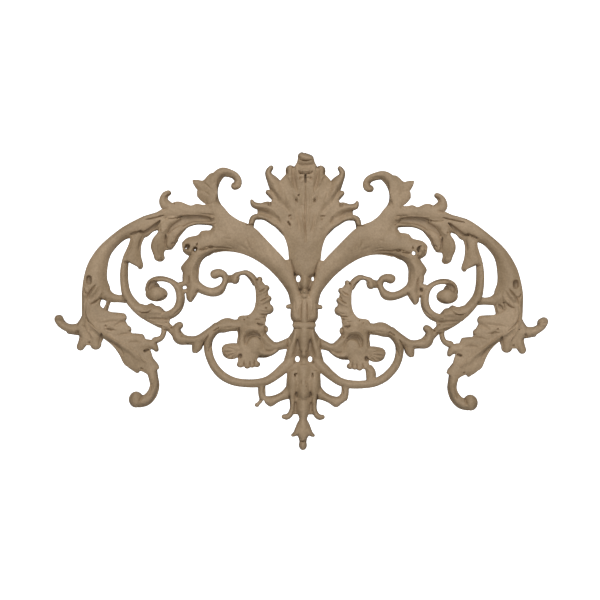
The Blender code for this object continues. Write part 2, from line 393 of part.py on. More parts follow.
def lower_scroll():
    """The big lower C-scroll, the hooked branch above it with its leaf, and the link to the calyx."""
    ribbon = blade([(37, -10.2, 37, -18, 5.8), (43, -12.0, 42, -18.6, 5.8),
                    (48.6, -11.9, 47.6, -19.6, 5.8), (54.0, -15.0, 51.6, -20.2, 5.8),
                    (59, -19.2, 54.8, -24.4, 5.8), (62.4, -22.0, 55.4, -28.6, 5.4)])
    ring = scroll([(50, -15.8, 1.8, 6.6), (55, -19.4, 2.0, 6.8), (57.6, -25, 2.1, 6.6),
                   (57.4, -30.4, 2.2, 6.0), (56.2, -35.2, 2.1, 5.8), (53.4, -40.6, 2.2, 5.8),
                   (48.7, -45.6, 2.3, 5.8), (42.2, -48.9, 2.2, 5.8), (35, -50, 2.15, 5.8),
                   (28, -49.9, 2.3, 5.8), (22, -48.4, 2.3, 5.8), (16.8, -45, 2.5, 5.8),
                   (12.2, -41, 2.9, 5.8), (8.4, -37.4, 3.0, 5.6)])
    branch = scroll([(52, -15.4, 2.0, 6.4), (57.6, -20.2, 2.3, 6.4), (63.8, -24.2, 2.4, 6.2),
                     (70, -24.6, 2.4, 6.0), (74.4, -23.4, 3.2, 6.2), (76.6, -19.8, 2.7, 6.0),
                     (76.4, -17, 2.2, 6.0), (74.8, -15.7, 2.0, 6.2)])
    leaf = blade([(58.6, -20.4, 67.6, -24.4, 5.8), (60.4, -26, 67.0, -26.6, 5.6),
                  (61.6, -29.8, 67.0, -29.6, 5.2), (64.4, -32.2, 66.8, -31.8, 4.6)])
    tie = scroll([(77.2, -21, 2.0, 5.0), (80, -18.2, 2.0, 4.8), (83, -15.6, 2.2, 4.8)])
    link_leaf = blade([(9.4, -50.4, 7.4, -59.0, 4.8), (12.6, -54.6, 10.8, -59.4, 5.2),
                       (17.0, -57.1, 15.0, -61.0, 5.4), (21.4, -57.9, 19.6, -63.8, 5.2),
                       (24.4, -57.2, 22.8, -61.6, 5.0)])
    strut = scroll([(25.0, -60.0, 1.4, 4.6), (24.9, -56.6, 2.0, 4.8), (25.1, -52.8, 2.0, 4.8),
                    (25.2, -49.6, 2.2, 5.0)], round_start=True)
    return [ribbon, ring, branch, leaf, tie, link_leaf, strut]


def grotesque():
    """The scaly column with its inward curl, and the shell with a hooded boss that hangs from it."""
    curl = scroll([(29.0, 9.6, 2.0, 6.2), (31.6, 13.6, 1.9, 6.2), (35.0, 16.2, 1.5, 6.0),
                   (38.6, 15.9, 1.0, 5.6), (41.2, 14.4, 1.9, 6.0), (41.8, 12.0, 2.4, 7.2)])
    column = blade([(28.6, 11.6, 32.0, 12.6, 5.6), (26.4, 11.4, 30.2, 9.4, 6.0),
                    (23.4, 7.2, 29.2, 6.0, 6.0), (22.6, 2.8, 29.0, 2.0, 6.0),
                    (21.6, -1.4, 29.0, -1.0, 6.0), (21.4, -6, 30.2, -5.8, 6.0),
                    (22.8, -9.6, 33.2, -9.6, 6.2), (24.0, -13.2, 39.0, -11.2, 6.2),
                    (24.0, -17.6, 39.6, -16.4, 5.6), (24.4, -21, 39.4, -21, HOLLOW_HEIGHT),
                    (25, -31, 39, -31, HOLLOW_HEIGHT)])
    scales = [scroll([(27.4, 11.4, 1.7, 6.0), (28.6, 7.4, 1.2, 6.8)], round_start=True),
              scroll([(23.4, 6.2, 2.0, 5.8), (26.8, 6.0, 1.9, 7.0)], round_start=True),
              scroll([(22.3, 0.8, 1.9, 5.8), (26.6, 1.0, 2.0, 7.0)], round_start=True),
              scroll([(21.7, -5.6, 2.6, 5.8), (27.0, -4.4, 2.3, 7.0)], round_start=True),
              scroll([(24.8, -11.8, 1.5, 5.6), (30.4, -11.2, 2.0, 7.2)], round_start=True),
              scroll([(24.0, -17.8, 2.0, 5.6), (28.0, -17.0, 2.0, 7.2)], round_start=True)]
    hood = scroll([(24.6, -22.4, 1.5, 6.2), (27, -18.6, 2.0, 7.4), (31.4, -16.6, 2.4, 7.8),
                   (35.8, -18.6, 2.4, 7.4), (38.0, -23.4, 1.9, 6.4), (38.2, -28, 2.0, 6.0)])
    dome = boss(31.6, -13.4, 5.4, 3.6, 7.4)
    knob = boss(29.7, -27.6, 4.5, 5.4, BOSS_HEIGHT)
    jaw = blade([(24.6, -29, 39.6, -29.4, 5.2), (26.0, -33.6, 39.4, -34, 5.2),
                 (28.2, -36.2, 39.0, -36.6, 4.8), (28, -38.4, 39, -38.6, 4.2)])
    toes = [scroll([(30.6, -33, 2.0, 6.4), (28.2, -38.2, 1.9, 5.2)]),
            scroll([(33.0, -33, 1.6, 6.6), (33.7, -39.2, 1.6, 5.8)]),
            scroll([(37.4, -35, 1.8, 5.6), (37.8, -38.8, 1.9, 5.2)])]
    shell = [scroll([(38.4, -28.8, 2.2, 5.8), (43, -28.4, 2.5, 6.4), (46.6, -29.2, 2.4, 5.8)]),
             scroll([(39.8, -31.4, 1.7, 5.8), (44, -31.6, 2.1, 6.2), (47.4, -31.2, 1.9, 5.2)]),
             scroll([(40.4, -33.8, 1.5, 4.8), (44.4, -33.9, 1.7, 5.2), (46.2, -33.8, 1.6, 4.8)])]
    sweep = blade([(27.0, -22.4, 28.0, -34.4, 5.2), (22.6, -22.2, 22.4, -34.3, 5.4),
                   (19.4, -24.7, 18.4, -32.0, 5.6), (15.6, -25.4, 15.0, -29.9, 5.6),
                   (12, -23.8, 11.4, -29.1, 5.4), (8.8, -22.2, 8.8, -28.8, 4.8)])
    lip = scroll([(25.6, -24.6, 1.6, 6.4), (24.2, -28.4, 1.8, 6.8), (20.6, -30.4, 1.8, 6.4),
                  (15.4, -28.2, 1.5, 6.0)])
    return [curl, column, hood, dome, knob, jaw, sweep, lip] + scales + toes + shell


def one_sided(side):
    """What only one side of the casting has: side -1 is the left, as the moulding hangs."""
    if side < 0:
        return [scroll([(25.4, -60.4, 0.8, 3.4), (27.5, -63.2, 0.75, 3.2)])]
    return [scroll([(38.6, -38.6, 1.8, 4.2), (40.4, -42.6, 2.3, 4.2), (41.2, -47.4, 2.4, 4.4)])]


def holes_and_dimples(side):
    """Cutters (x, z, half x, half z, floor above the back); a floor below zero goes right through."""
    through = -BURIED * 2.0
    both = [(3.8, -35.2, 1.5, 1.9, through), (129.2, 9.9, 1.7, 2.6, 2.2), (70.2, 31.8, 1.9, 1.9, 2.4),
            (38.0, -33.3, 1.3, 1.5, 2.2), (2.5, 6.6, 0.9, 1.5, 1.8), (3.4, -27.0, 0.9, 3.2, 1.8),
            (5.1, -44.4, 0.7, 1.0, 3.0), (4.3, -56.2, 0.8, 1.2, 3.0)]
    if side < 0:
        return both + [(3.8, 13.0, 1.5, 2.1, through), (71.9, 7.1, 1.3, 1.2, through),
                       (120.6, -3.3, 1.6, 2.3, through), (65.4, 30.6, 1.3, 1.5, 3.0)]
    return both + [(4.2, 13.2, 1.1, 1.5, through), (66.0, 29.3, 1.4, 1.4, through)]


def drifted(x, z):
    """A place on the right half, moved by the drifts around it."""
    total = move_x = move_z = 0.0
    for place_x, place_z, dx, dz in RIGHT_HALF_DRIFT.values():
        weight = math.exp(-((x - place_x) ** 2 + (z - place_z) ** 2) / DRIFT_REACH ** 2) + 1e-9
        total += weight
        move_x += weight * dx
        move_z += weight * dz
    return x + move_x / total, z + move_z / total


def on_side(x, z, side):
    """Where a point of the half lies on the left (-1), on the right (1) or on the axis (0)."""
    if side < 0:
        return -x, z
    return drifted(x, z) if side > 0 else (x, z)


def add_rings(mesh, rings, side):
    """Skins one blade into the mesh on the given side, with its ends closed."""
    loops = []
    for ring in rings:
        loop = []
        for x, y, z in ring:
            placed_x, placed_z = on_side(x, z, side)
            loop.append(mesh.verts.new((placed_x * MM, y * MM, placed_z * MM)))
        loops.append(loop)
    faces = []
    for here, there in zip(loops, loops[1:]):
        for k in range(len(here)):
            following = (k + 1) % len(here)
            faces.append(mesh.faces.new((here[k], here[following], there[following], there[k])))
    faces.append(mesh.faces.new(loops[0][::-1]))
    faces.append(mesh.faces.new(loops[-1]))
    bmesh.ops.recalc_face_normals(mesh, faces=faces)


def new_object(name, mesh):
    data = bpy.data.meshes.new(name)
    mesh.to_mesh(data)
    mesh.free()
    item = bpy.data.objects.new(name, data)
    bpy.context.scene.collection.objects.link(item)
    return item


def blades_object():
    mesh = bmesh.new()
    middle = []
    paired = []
    for on_axis, beside in (fan(), baluster(), calyx_and_drop()):
        middle += on_axis
        paired += beside
    for make in (arm, upper_leaf, folded_hollow, outer_stem, terminal_leaf, lower_leaf, c_scroll,
                 lower_scroll, grotesque):
        paired += make()
    for rings in middle:
        add_rings(mesh, rings, 0)
    for side in (-1, 1):
        for rings in paired + one_sided(side):
            add_rings(mesh, rings, side)
    return new_object(OBJECT_NAME, mesh)


def as_cutter(item):
    item.hide_render = True
    item.display_type = "WIRE"
    return item


def drills_object():
    """Tapered drills for the holes and dimples on both sides."""
    mesh = bmesh.new()
    front = ROLL_HEIGHT + 4.0
    turns = [2.0 * math.pi * k / DRILL_SIDES for k in range(DRILL_SIDES)]
    for side in (-1, 1):
        for x, z, half_x, half_z, floor in holes_and_dimples(side):
            rings = []
            for height, spread in zip((floor, front), DRILL_TAPER):
                rings.append([(x + half_x * spread * math.cos(turn), -height,
                               z + half_z * spread * math.sin(turn)) for turn in turns])
            add_rings(mesh, rings, side)
    return as_cutter(new_object("drills", mesh))


def back_slab():
    """A block behind the plane Y = 0, which cuts the back flat."""
    mesh = bmesh.new()
    bmesh.ops.create_cube(mesh, size=1.0)
    depth = BURIED * 4.0
    bmesh.ops.scale(mesh, verts=mesh.verts, vec=(SLAB * MM, depth * MM, SLAB * MM))
    bmesh.ops.translate(mesh, verts=mesh.verts, vec=(0.0, depth * MM / 2.0, 0.0))
    return as_cutter(new_object("back_slab", mesh))


def cut(item, cutter, name):
    modifier = item.modifiers.new(name, "BOOLEAN")
    modifier.operation = "DIFFERENCE"
    modifier.solver = "EXACT"
    modifier.object = cutter


def build():
    clear_scene()
    applique = blades_object()
    applique.data.materials.append(plaster_material())
    skin = applique.modifiers.new("one_skin", "REMESH")
    skin.mode = "VOXEL"
    skin.voxel_size = SKIN * MM
    skin.adaptivity = 0.0
    skin.use_smooth_shade = True
    cut(applique, drills_object(), "drilled")
    cut(applique, back_slab(), "flat_back")
    fewer = applique.modifiers.new("fewer_faces", "DECIMATE")
    fewer.ratio = KEPT_FACES


build()
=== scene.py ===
import math
import bpy
import numpy as np
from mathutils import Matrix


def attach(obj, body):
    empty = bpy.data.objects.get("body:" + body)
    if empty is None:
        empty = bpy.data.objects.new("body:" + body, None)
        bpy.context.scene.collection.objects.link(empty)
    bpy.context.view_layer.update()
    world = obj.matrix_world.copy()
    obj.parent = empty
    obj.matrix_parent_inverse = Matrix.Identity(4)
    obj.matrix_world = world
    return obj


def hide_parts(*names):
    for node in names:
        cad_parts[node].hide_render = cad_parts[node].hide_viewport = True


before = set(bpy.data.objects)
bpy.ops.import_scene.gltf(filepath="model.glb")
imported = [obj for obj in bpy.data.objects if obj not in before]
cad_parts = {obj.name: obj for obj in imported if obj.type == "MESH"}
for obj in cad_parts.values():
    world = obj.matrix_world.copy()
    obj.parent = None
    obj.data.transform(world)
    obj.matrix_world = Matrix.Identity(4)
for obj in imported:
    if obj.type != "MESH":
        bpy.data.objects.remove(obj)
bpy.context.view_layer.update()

# An openwork scroll moulding, cast in one piece with a flat back on the plane Y = 0.
# The relief rises towards -Y, Z is up, and all the sizes below are in mm.
# Outlines are drawn for one half, with x growing from the middle outwards.

mm = 0.001

skin = {
    "voxel": 0.36,            # finest step of the moulded skin
    "smoothPasses": 2,        # over the skin before it is carved
    "smoothShare": 0.5,       # how far each of them goes
    "swell": 0.30,            # given back to the outline afterwards
    "lastSmooth": 0.4,        # one pass after the carving
    "triangles": 192000,      # what is kept of it in the end
    "softAngle": 50,          # edges up to this many degrees are shaded smooth
    "backGap": 0.22,          # what lies this near the back is pressed flat onto it
    "leastWall": 0.9,         # carving stops this far above the back
}

heights = {
    "vein": 7.4,              # raised veins and midribs
    "boss": 8.2,              # round knobs and volute eyes
    "fan": 8.6,               # flutes of the fan
    "roll": 10.8,             # rolled tip of the fan
    "baluster": 9.2,          # the turned column in the middle
    "hollow": 2.8,            # floors of the folded hollows
    "well": 3.2,              # deep wells beside the column
    "thin": 3.6,              # webs and links
}

bladeForm = {
    "edge": 0.38,             # height of a blade's edge, as a share of its crest
    "round": 2.2,             # exponent of a rounded section
    "keel": 1.25,             # exponent of a sharper one
    "sections": 10,           # faces across a blade
    "ringStep": 1.1,          # spacing of the sections along it
    "tip": 0.6,               # height of a rounded end, as a share of its crest
    "tipAngles": (20, 38, 54, 68, 80),      # where sections are laid round an end
    "knobAngles": range(-84, 85, 12),       # and round a knob
    "knobEdge": 0.5,          # least height of a knob's end, as a share of its crest
}

# how far the hand-drawn right half strays from the left one: place (x, z) and move (dx, dz)
rightHalf = {
    "reach": 11.0,
    "moves": [
        (41, 69, -5.3, -0.8), (47, 78, -3.6, -1.6), (54, 68, -2.4, 0.0), (66, 70, -3.3, 1.2),
        (60, 57, 0.0, 0.5), (83, 62, -3.6, 0.0), (96, 50, 0.0, 0.4), (112, 38, -1.4, -0.6),
        (125, 20, -2.8, 0.0), (131, -4, -2.2, 0.0), (108, 16, -3.1, 0.0), (99, 20, -3.0, 1.0),
        (101, -4, -2.6, 1.4), (87, 28, -2.0, 0.4), (90, 5, -4.1, 0.0), (82, 12, -3.6, 0.0),
        (74, 0, -1.8, 0.0), (86, -13, -1.4, 0.8), (69, 34, 0.0, -0.8), (68, 2, -2.2, -0.3),
        (54, 14, -2.4, -1.8), (40, 13, -2.0, -2.4), (26, 2, -0.9, -1.2), (56, -18, 0.0, -1.6),
        (74, -18, -1.0, -0.8), (34, -33, -0.6, -0.9), (36, -50, 0.0, 0.0), (106, -13, -3.1, 0.6),
        (101, -22, -1.8, -0.6), (84, -22, -1.6, -0.6), (88, -36, -0.9, -1.6), (101, -43, -1.0, 0.0),
        (129, -27, -3.3, 0.7), (146, -12, -3.8, 1.9), (137, -18, -2.4, 1.0), (95, -57, 0.1, 0.3),
        (21, 78, -0.3, 0.0), (31, 58, 0.0, 0.0), (12, 50, 0.0, 0.0), (12, -45, 0.0, 0.0),
        (12, -5, 0.0, 0.0), (34, 36, -0.4, 0.0), (72, 21, 0.2, 0.0),
    ],
}


def pickOnly(*pieces):
    bpy.ops.object.select_all(action="DESELECT")
    for piece in pieces:
        piece.select_set(True)
    bpy.context.view_layer.objects.active = pieces[0]


def smoothRows(rows):
    # rows of numbers on a smooth curve through the given ones
    if len(rows) < 3:
        padded = [rows[0], rows[0], rows[-1], rows[-1]]
    else:
        padded = [rows[0], *rows, rows[-1]]
    out = []
    for a, b, c, d in zip(padded, padded[1:], padded[2:], padded[3:]):
        steps = max(1, round(math.dist(b[:2], c[:2]) / bladeForm["ringStep"]))
        for k in range(steps):
            t = k / steps
            out.append([0.5 * (2 * q + (r - p) * t + (2 * p - 5 * q + 4 * r - s) * t ** 2
                               + (3 * q - p - 3 * r + s) * t ** 3) for p, q, r, s in zip(a, b, c, d)])
    out.append(list(rows[-1]))
    return out


def laidRings(laid, curve, edge, lean):
    # edge may give both edges' heights, and lean is where the crest stands between them
    count = bladeForm["sections"]
    nearEdge, farEdge = edge if isinstance(edge, tuple) else (edge, edge)
    section = []
    for k in range(count + 1):
        s = 0.5 - 0.5 * math.cos(math.pi * k / count)
        off, low = ((lean - s) / lean, nearEdge) if s < lean else ((s - lean) / (1 - lean), farEdge)
        section.append((s, low + (1 - low) * (1 - off ** curve)))
    return [[(xa + (xb - xa) * s, -crest * rise, za + (zb - za) * s) for s, rise in section]
            for xa, za, xb, zb, crest in laid]


def blade(rungs, curve=bladeForm["round"], edge=bladeForm["edge"], lean=0.5):
    # rungs (xa, za, xb, zb, crest) from edge to edge
    return laidRings(smoothRows(rungs), curve, edge, lean)


def endRungs(last, sign):
    x, z, hx, hz, half, crest = last
    out = []
    for turn in bladeForm["tipAngles"]:
        lean = math.radians(turn)
        reach = half * math.sin(lean) * sign
        out.append((x + hx * reach, z + hz * reach, hx, hz, half * math.cos(lean),
                    crest * (bladeForm["tip"] + (1 - bladeForm["tip"]) * math.cos(lean))))
    return out


def scroll(spine, curve=bladeForm["round"], edge=bladeForm["edge"], lean=0.5, roundStart=False):
    # spine (x, z, half width, crest), its end rounded off; the near edge is on its left
    rows = smoothRows(spine)
    rungs = []
    for k, (x, z, half, crest) in enumerate(rows):
        back, ahead = rows[max(0, k - 1)], rows[min(len(rows) - 1, k + 1)]
        run = math.dist(back[:2], ahead[:2])
        rungs.append((x, z, (ahead[0] - back[0]) / run, (ahead[1] - back[1]) / run, half, crest))
    rungs += endRungs(rungs[-1], 1)
    if roundStart:
        rungs = endRungs(rungs[0], -1)[::-1] + rungs
    return laidRings([(x - hz * half, z + hx * half, x + hz * half, z - hx * half, crest)
                      for x, z, hx, hz, half, crest in rungs], curve, edge, lean)


def boss(x, z, halfX, halfZ, crest, edge=bladeForm["edge"]):
    # a round or oval knob, flatter with a high edge
    low = max(bladeForm["knobEdge"], edge)
    rows = []
    for turn in bladeForm["knobAngles"]:
        lean = math.radians(turn)
        rows.append((x - halfX * math.cos(lean), z + halfZ * math.sin(lean),
                     x + halfX * math.cos(lean), z + halfZ * math.sin(lean),
                     crest * (low + (1 - low) * math.cos(lean))))
    return laidRings(rows, bladeForm["round"], edge, 0.5)


def turned(stations, edge=bladeForm["edge"], curve=bladeForm["round"]):
    # a form that is even about the axis, from stations (z, half width, crest)
    return blade([(-half, z, half, z, crest) for z, half, crest in stations], curve, edge)


def level(rungs, crest):
    # a web or a floor, from rungs (xa, za, xb, zb)
    return blade([(*rung, crest) for rung in rungs])


def layBlade(rings):
    # a grid laid along the outline, then extruded onto the back
    across, along = len(rings[0]) - 1, len(rings) - 1
    bpy.ops.object.select_all(action="DESELECT")
    bpy.ops.mesh.primitive_grid_add(x_subdivisions=across, y_subdivisions=along, size=0.01)
    piece = bpy.context.object
    places = np.array(rings, dtype=float).reshape(-1, 3) * mm
    piece.data.vertices.foreach_set("co", places.ravel())
    bpy.ops.object.mode_set(mode="EDIT")
    bpy.ops.mesh.select_all(action="SELECT")
    bpy.ops.mesh.extrude_region_move()
    bpy.ops.transform.resize(value=(1, 0, 1), center_override=(0, 0, 0))
    bpy.ops.mesh.select_all(action="SELECT")
    bpy.ops.mesh.normals_make_consistent(inside=False)
    bpy.ops.object.mode_set(mode="OBJECT")
    return piece


def laidTogether(name, blades):
    pieces = [layBlade(rings) for rings in blades]
    pickOnly(*pieces)
    bpy.ops.object.join()
    whole = bpy.context.object
    whole.name = name
    return whole


def fan():
    low = heights["hollow"] + 1.6
    flute = heights["fan"]
    body = turned([(14.3, 1.8, 6.8), (15.3, 3.9, 7), (17, 5.7, 7.3), (20.6, 7.7, 7.6), (25, 9.3, 7.8),
        (31, 10, 8), (37, 11.8, 8), (42, 14.8, 7.9), (48, 19.6, 7.8), (54, 21, 7.8), (60, 20, 7.8),
        (66, 18, 7.8), (73, 14, 7.9), (79, 7.5, 8.4), (81, 6.2, 8.6)], 0.66, 2.3)
    shoulder = scroll([(7.6, 64, 2, 5.6), (8.6, 71, 2.8, 7.4), (9.2, 78.2, 2.7, flute - 0.6)])
    horn = scroll([(12, 52, 2.2, 5.6), (14.8, 61, 3.4, flute - 1.2), (18.6, 69.6, 3.7, flute - 1),
        (22, 74.6, 2, 7.2), (22.4, 77.2, 1.6, 6.6), (20.8, 79.5, 1.2, 6)])
    nub = scroll([(17, 60.6, 2.2, 6.8), (20.2, 63.4, 2.1, 6.6), (22.4, 64.7, 1.4, 6.2)])
    wing = scroll([(13.5, 45, 2.4, 5.4), (17, 51, 3.8, 7), (22, 55.4, 3.6, 7), (27, 56, 2, 6.4),
        (31, 57.2, 1.6, 5.8), (32.2, 59.4, 0.8, 5)])
    tendril = scroll([(9.7, 36.2, 1, 4.6), (12.3, 40.3, 1.1, 6), (15.4, 43.9, 1.4, 6.4),
        (19.4, 46.8, 1.6, 6.6), (24, 49.5, 1.5, 6.6), (28.6, 50.1, 1.5, 6.4), (31.4, 48.9, 1.6, 6.2),
        (32.2, 46.3, 1.5, 6), (32.6, 44.4, 1.5, 6)])
    web = blade([(11.2, 39.6, 12.8, 38.8, low), (17, 46, 19.2, 45.2, low), (23, 54.5, 24.5, 48.2, low),
        (28.6, 54, 28.4, 48.4, low)])
    finial = blade([(-7, 76, 7, 76, 7.6), (-6.2, 80.6, 6.2, 80.6, 7.9), (-5, 83, 5, 83, 9.2),
        (-4.6, 85.4, 4.8, 84.4, 9.6)], 2.4, 0.7)
    roll = scroll([(-2.5, 86.4, 2.2, 10.4), (0, 85.4, 2.6, heights["roll"]), (2.2, 85, 2.3, 10.4)],
        roundStart=True)
    lip = scroll([(-2.6, 77.6, 1.2, 9.8), (-1, 77.9, 1.3, 10.4), (0.3, 77.6, 1.1, 10),
        (1.7, 77.9, 1.2, 10.3)], roundStart=True)
    return [body, finial, roll, lip], [shoulder, horn, nub, wing, tendril, web]


def baluster():
    tall = heights["baluster"]
    vase = turned([(14.4, 2.5, 6.2), (12.9, 2.9, 7.2), (11.2, 3.2, 7.9), (9.2, 2.9, 7.8), (7.8, 2, 7),
        (7, 1.5, 6)], 0.5)
    bead = boss(0, 5.1, 2.2, 1.6, 7.7, 0.6)
    collar = boss(0, 2.6, 2.9, 1.4, 7.4, 0.6)
    block = turned([(2, 7.2, 6.4), (-3, 7.8, 6.8), (-9.4, 8.1, 6.6), (-11.6, 7.4, 6), (-12.8, 6.5, 5.6),
        (-17.5, 6.2, 5.4), (-21.5, 8.6, 4.6), (-25, 9.9, heights["hollow"]),
        (-38.4, 10.1, heights["hollow"])], 0.5)
    petal = scroll([(0, 0.2, 1.4, 7.4), (0, -6, 1.7, tall - 1), (0, -12.4, 1.8, tall - 1.4)], edge=0.82)
    band = scroll([(-5.2, -14.8, 1.7, 7), (0, -14.9, 1.9, 7.8), (5.2, -14.8, 1.7, 7)], edge=0.6,
        roundStart=True)
    shaft = turned([(-16.2, 4.3, 7.2), (-20, 4.1, 8), (-25, 3.2, 7.4), (-30, 2.5, 6.2)], 0.5)
    lowerBead = boss(0, -32.2, 2.1, 1.9, 8)
    foot = turned([(-33, 2.2, 5), (-38.5, 2.2, 5.4)])
    sidePetal = scroll([(4.2, 0.8, 2.2, 7), (4.4, -5, 2.7, 7.6), (4.5, -9.2, 2.8, 7.8)], edge=0.7)
    nub = scroll([(7, -3.4, 1.3, 5.4), (9.8, -3.8, 1.1, 4.8)])
    sideLeaf = scroll([(4.9, -16.6, 1.2, 6), (5.6, -22, 1.7, 6.8), (7.3, -28, 2.2, 6.6),
        (8.6, -33, 2.2, 5.8)])
    sideWeb = blade([(5.2, -33, 10.8, -33, 4.4), (5.4, -36.6, 11.6, -35.4, 4.8), (4, -39, 12, -39, 5.2)])
    onAxis = [vase, bead, collar, block, petal, band, shaft, lowerBead, foot]
    return onAxis, [sidePetal, nub, sideLeaf, sideWeb]


def calyxAndDrop():
    cup = turned([(-37.2, 8.2, 4.4), (-41, 9.6, 6.4), (-46, 9.9, 7), (-51, 10.2, 6.6), (-56, 10.4, 5.4),
        (-60, 7.4, 4.4)])
    tongue = turned([(-38.5, 5, 6.6), (-42, 5, 8.4), (-48, 4.2, 8.2), (-54, 4.3, 8.6), (-57.4, 3.4, 8.2),
        (-59.4, 1.6, 6.4)])
    stem = turned([(-56, 4.4, 5.2), (-60, 4.3, 6.2), (-65, 4, 6.6), (-68.6, 2.9, 6.2), (-71.3, 2.1, 5.8),
        (-74.2, 3.6, 6.6), (-77.4, 4.5, 7), (-80.4, 3.8, 6.6), (-82.4, 2.4, 6.2), (-85, 1.9, 5)])
    drop = boss(0, -86.8, 2.2, 2.8, 6.2)
    sideTongue = scroll([(6, -42, 3.4, 6.6), (6.2, -49, 3.9, 7.6), (6.7, -55, 2.7, 7)])
    hook = scroll([(6.6, -55, 2, 6.6), (6.5, -60, 1.6, 6), (6.7, -65, 1.2, 5.6), (8, -68.7, 1.5, 5.2),
        (10.2, -70.1, 1.5, 4.8), (11.6, -69.9, 1.2, 4.4)])
    flare = scroll([(2.6, -77.4, 2.1, 6.4), (4.6, -80, 1.3, 5.4), (6.3, -81, 0.7, 4.2)])
    crotch = level([(3.6, -58, 7.6, -58), (3.6, -66.4, 6.4, -66.4), (3, -68.2, 5.8, -68.2)],
        heights["hollow"])
    return [cup, tongue, stem, drop], [sideTongue, hook, flare, crotch]


def arm():
    band = blade([(1.8, 1.5, 8.3, -1.5, 6.6), (3.6, 7, 9.8, 4.5, 7), (5.8, 13, 13.4, 10, 7),
        (8, 19, 18, 15.4, 6.8), (12.3, 24.6, 22.8, 19.8, 6.6), (18, 30.6, 28.2, 23.5, 6.4),
        (23.8, 36.6, 34.2, 26.6, 6.4), (29.9, 42.6, 41, 28.6, 6.4), (35.4, 45.8, 48.5, 29.2, 6.6),
        (42, 48, 54, 28.2, 6.4)], 2, (0.8, 0.34), 0.36)
    spread = blade([(38, 46.4, 44, 33, 6), (45, 50.8, 51, 37.5, 6.2), (50.4, 56.6, 53.4, 44.6, 6.2),
        (54, 57.8, 57, 48.4, 6.2)], 2, (0.8, 0.8))
    web = level([(3.4, 16.6, 8.4, 14.6), (5.4, 21.6, 12.4, 20.6), (7.4, 24.6, 14.6, 23.6)],
        heights["thin"] + 1)
    well = level([(-0.8, 0, 5.5, 0), (-0.8, 8, 6.5, 8), (-0.8, 16.5, 7.5, 16.5)], heights["well"])
    return [band, spread, web, well]


def upperLeaf():
    curl = scroll([(51.5, 51, 4.2, 6.4), (55.2, 57.5, 3.7, 6.6), (56.2, 64, 3.3, 6.6),
        (55.2, 69.6, 3.1, 6.8), (52.9, 74, 3, 6.8), (49.8, 76.4, 2.6, 6.6), (46.2, 76, 2.2, 6.2),
        (42.5, 74.4, 2, 6), (40.6, 71.6, 2, 6), (41, 69, 2.2, 6.2), (42.5, 68.3, 2.1, 6.4)], 1.9,
        (0.28, 0.72), 0.64)
    highFlap = blade([(53, 75.6, 53, 60, 6.6), (56.6, 75.6, 56.4, 61.6, 6.4), (58.8, 73.9, 58.4, 62.6, 6.2),
        (61.4, 71.1, 62.6, 64.8, 5.6), (64.6, 71.5, 65, 66, 5), (67.8, 71.5, 67.4, 69.6, 4.2)], 2.2, 0.7)
    lowFlap = blade([(53, 67, 54, 56, 6.6), (58.6, 67.6, 59.2, 57.2, 6.2), (62.2, 67, 62.6, 59.4, 5.6),
        (65, 65, 64.8, 61.8, 4.6)], 2.2, 0.7)
    topBand = blade([(54, 58, 54, 48.6, 6.2), (60.4, 56.5, 60, 50.2, 6.2), (65.4, 57.1, 65, 50.6, 6.3),
        (68.8, 56, 68.4, 50.6, 6.4), (75.5, 58.3, 74.4, 50, 6.4), (80, 57.4, 79.4, 49.4, 6.2),
        (85.8, 53.8, 84.6, 49, 5.8), (90, 51.4, 89, 46.4, 5.2)], 2, (0.7, 0.8))
    hook = scroll([(80.5, 54.5, 2.8, 6), (84.2, 57, 3, 6), (85.1, 60.2, 2.2, 5.8), (83.9, 62.7, 1.7, 5.4),
        (82.3, 63.7, 1.4, 5)], 1.9, (0.3, 0.7), 0.64)
    return [curl, highFlap, lowFlap, topBand, hook]


def foldedHollow():
    floor = level([(54, 50, 54, 44.2), (60, 50.4, 60, 44.9), (68, 50.4, 67.4, 44.9), (77, 48.5, 73.2, 42.6),
        (82, 42.5, 76.6, 37), (85, 34, 77.8, 33), (84.4, 29.4, 80.2, 29.9)], heights["hollow"])
    rim = scroll([(53.6, 45.9, 1.2, 5.6), (60, 45.9, 0.85, 5.4), (66, 45.7, 0.85, 5.4),
        (71.2, 43.9, 0.9, 5.4), (76, 39.6, 0.9, 5.2), (77.6, 36.4, 0.9, 5)])
    slotEnd = scroll([(54.6, 46.6, 1.4, 5.2), (53.4, 42, 1.9, 5.8)])
    smallClaw = blade([(74.5, 44.2, 71.6, 42.4, 4.2), (79.4, 41.6, 74.8, 38.6, 5),
        (81.6, 38.6, 76.2, 36.4, 5.2), (82.7, 35.2, 76.8, 34.5, 5), (82.8, 32.8, 78.6, 32.8, 4.8),
        (82, 30.8, 79.6, 30.7, 4.4)], 2, (0.9, 0.42), 0.3)
    shoulder = scroll([(75.5, 49, 1.6, 5.6), (81.5, 46.6, 3.2, 6.2), (85.6, 42.4, 3, 6.4)])
    claw = blade([(81.8, 47, 87, 44.4, 6.4), (80.8, 42, 88.2, 39.8, 6.6), (82.6, 36.8, 91.2, 35.8, 6.6),
        (83.6, 31.6, 92.2, 31, 6.4), (84.9, 27.2, 90.7, 26.8, 6), (84.3, 24.2, 89.8, 23.8, 5.6),
        (86.2, 22.6, 87.8, 22.6, 4.8)], 1.8, (0.42, 0.66), 0.78)
    return [floor, rim, slotEnd, smallClaw, shoulder, claw]


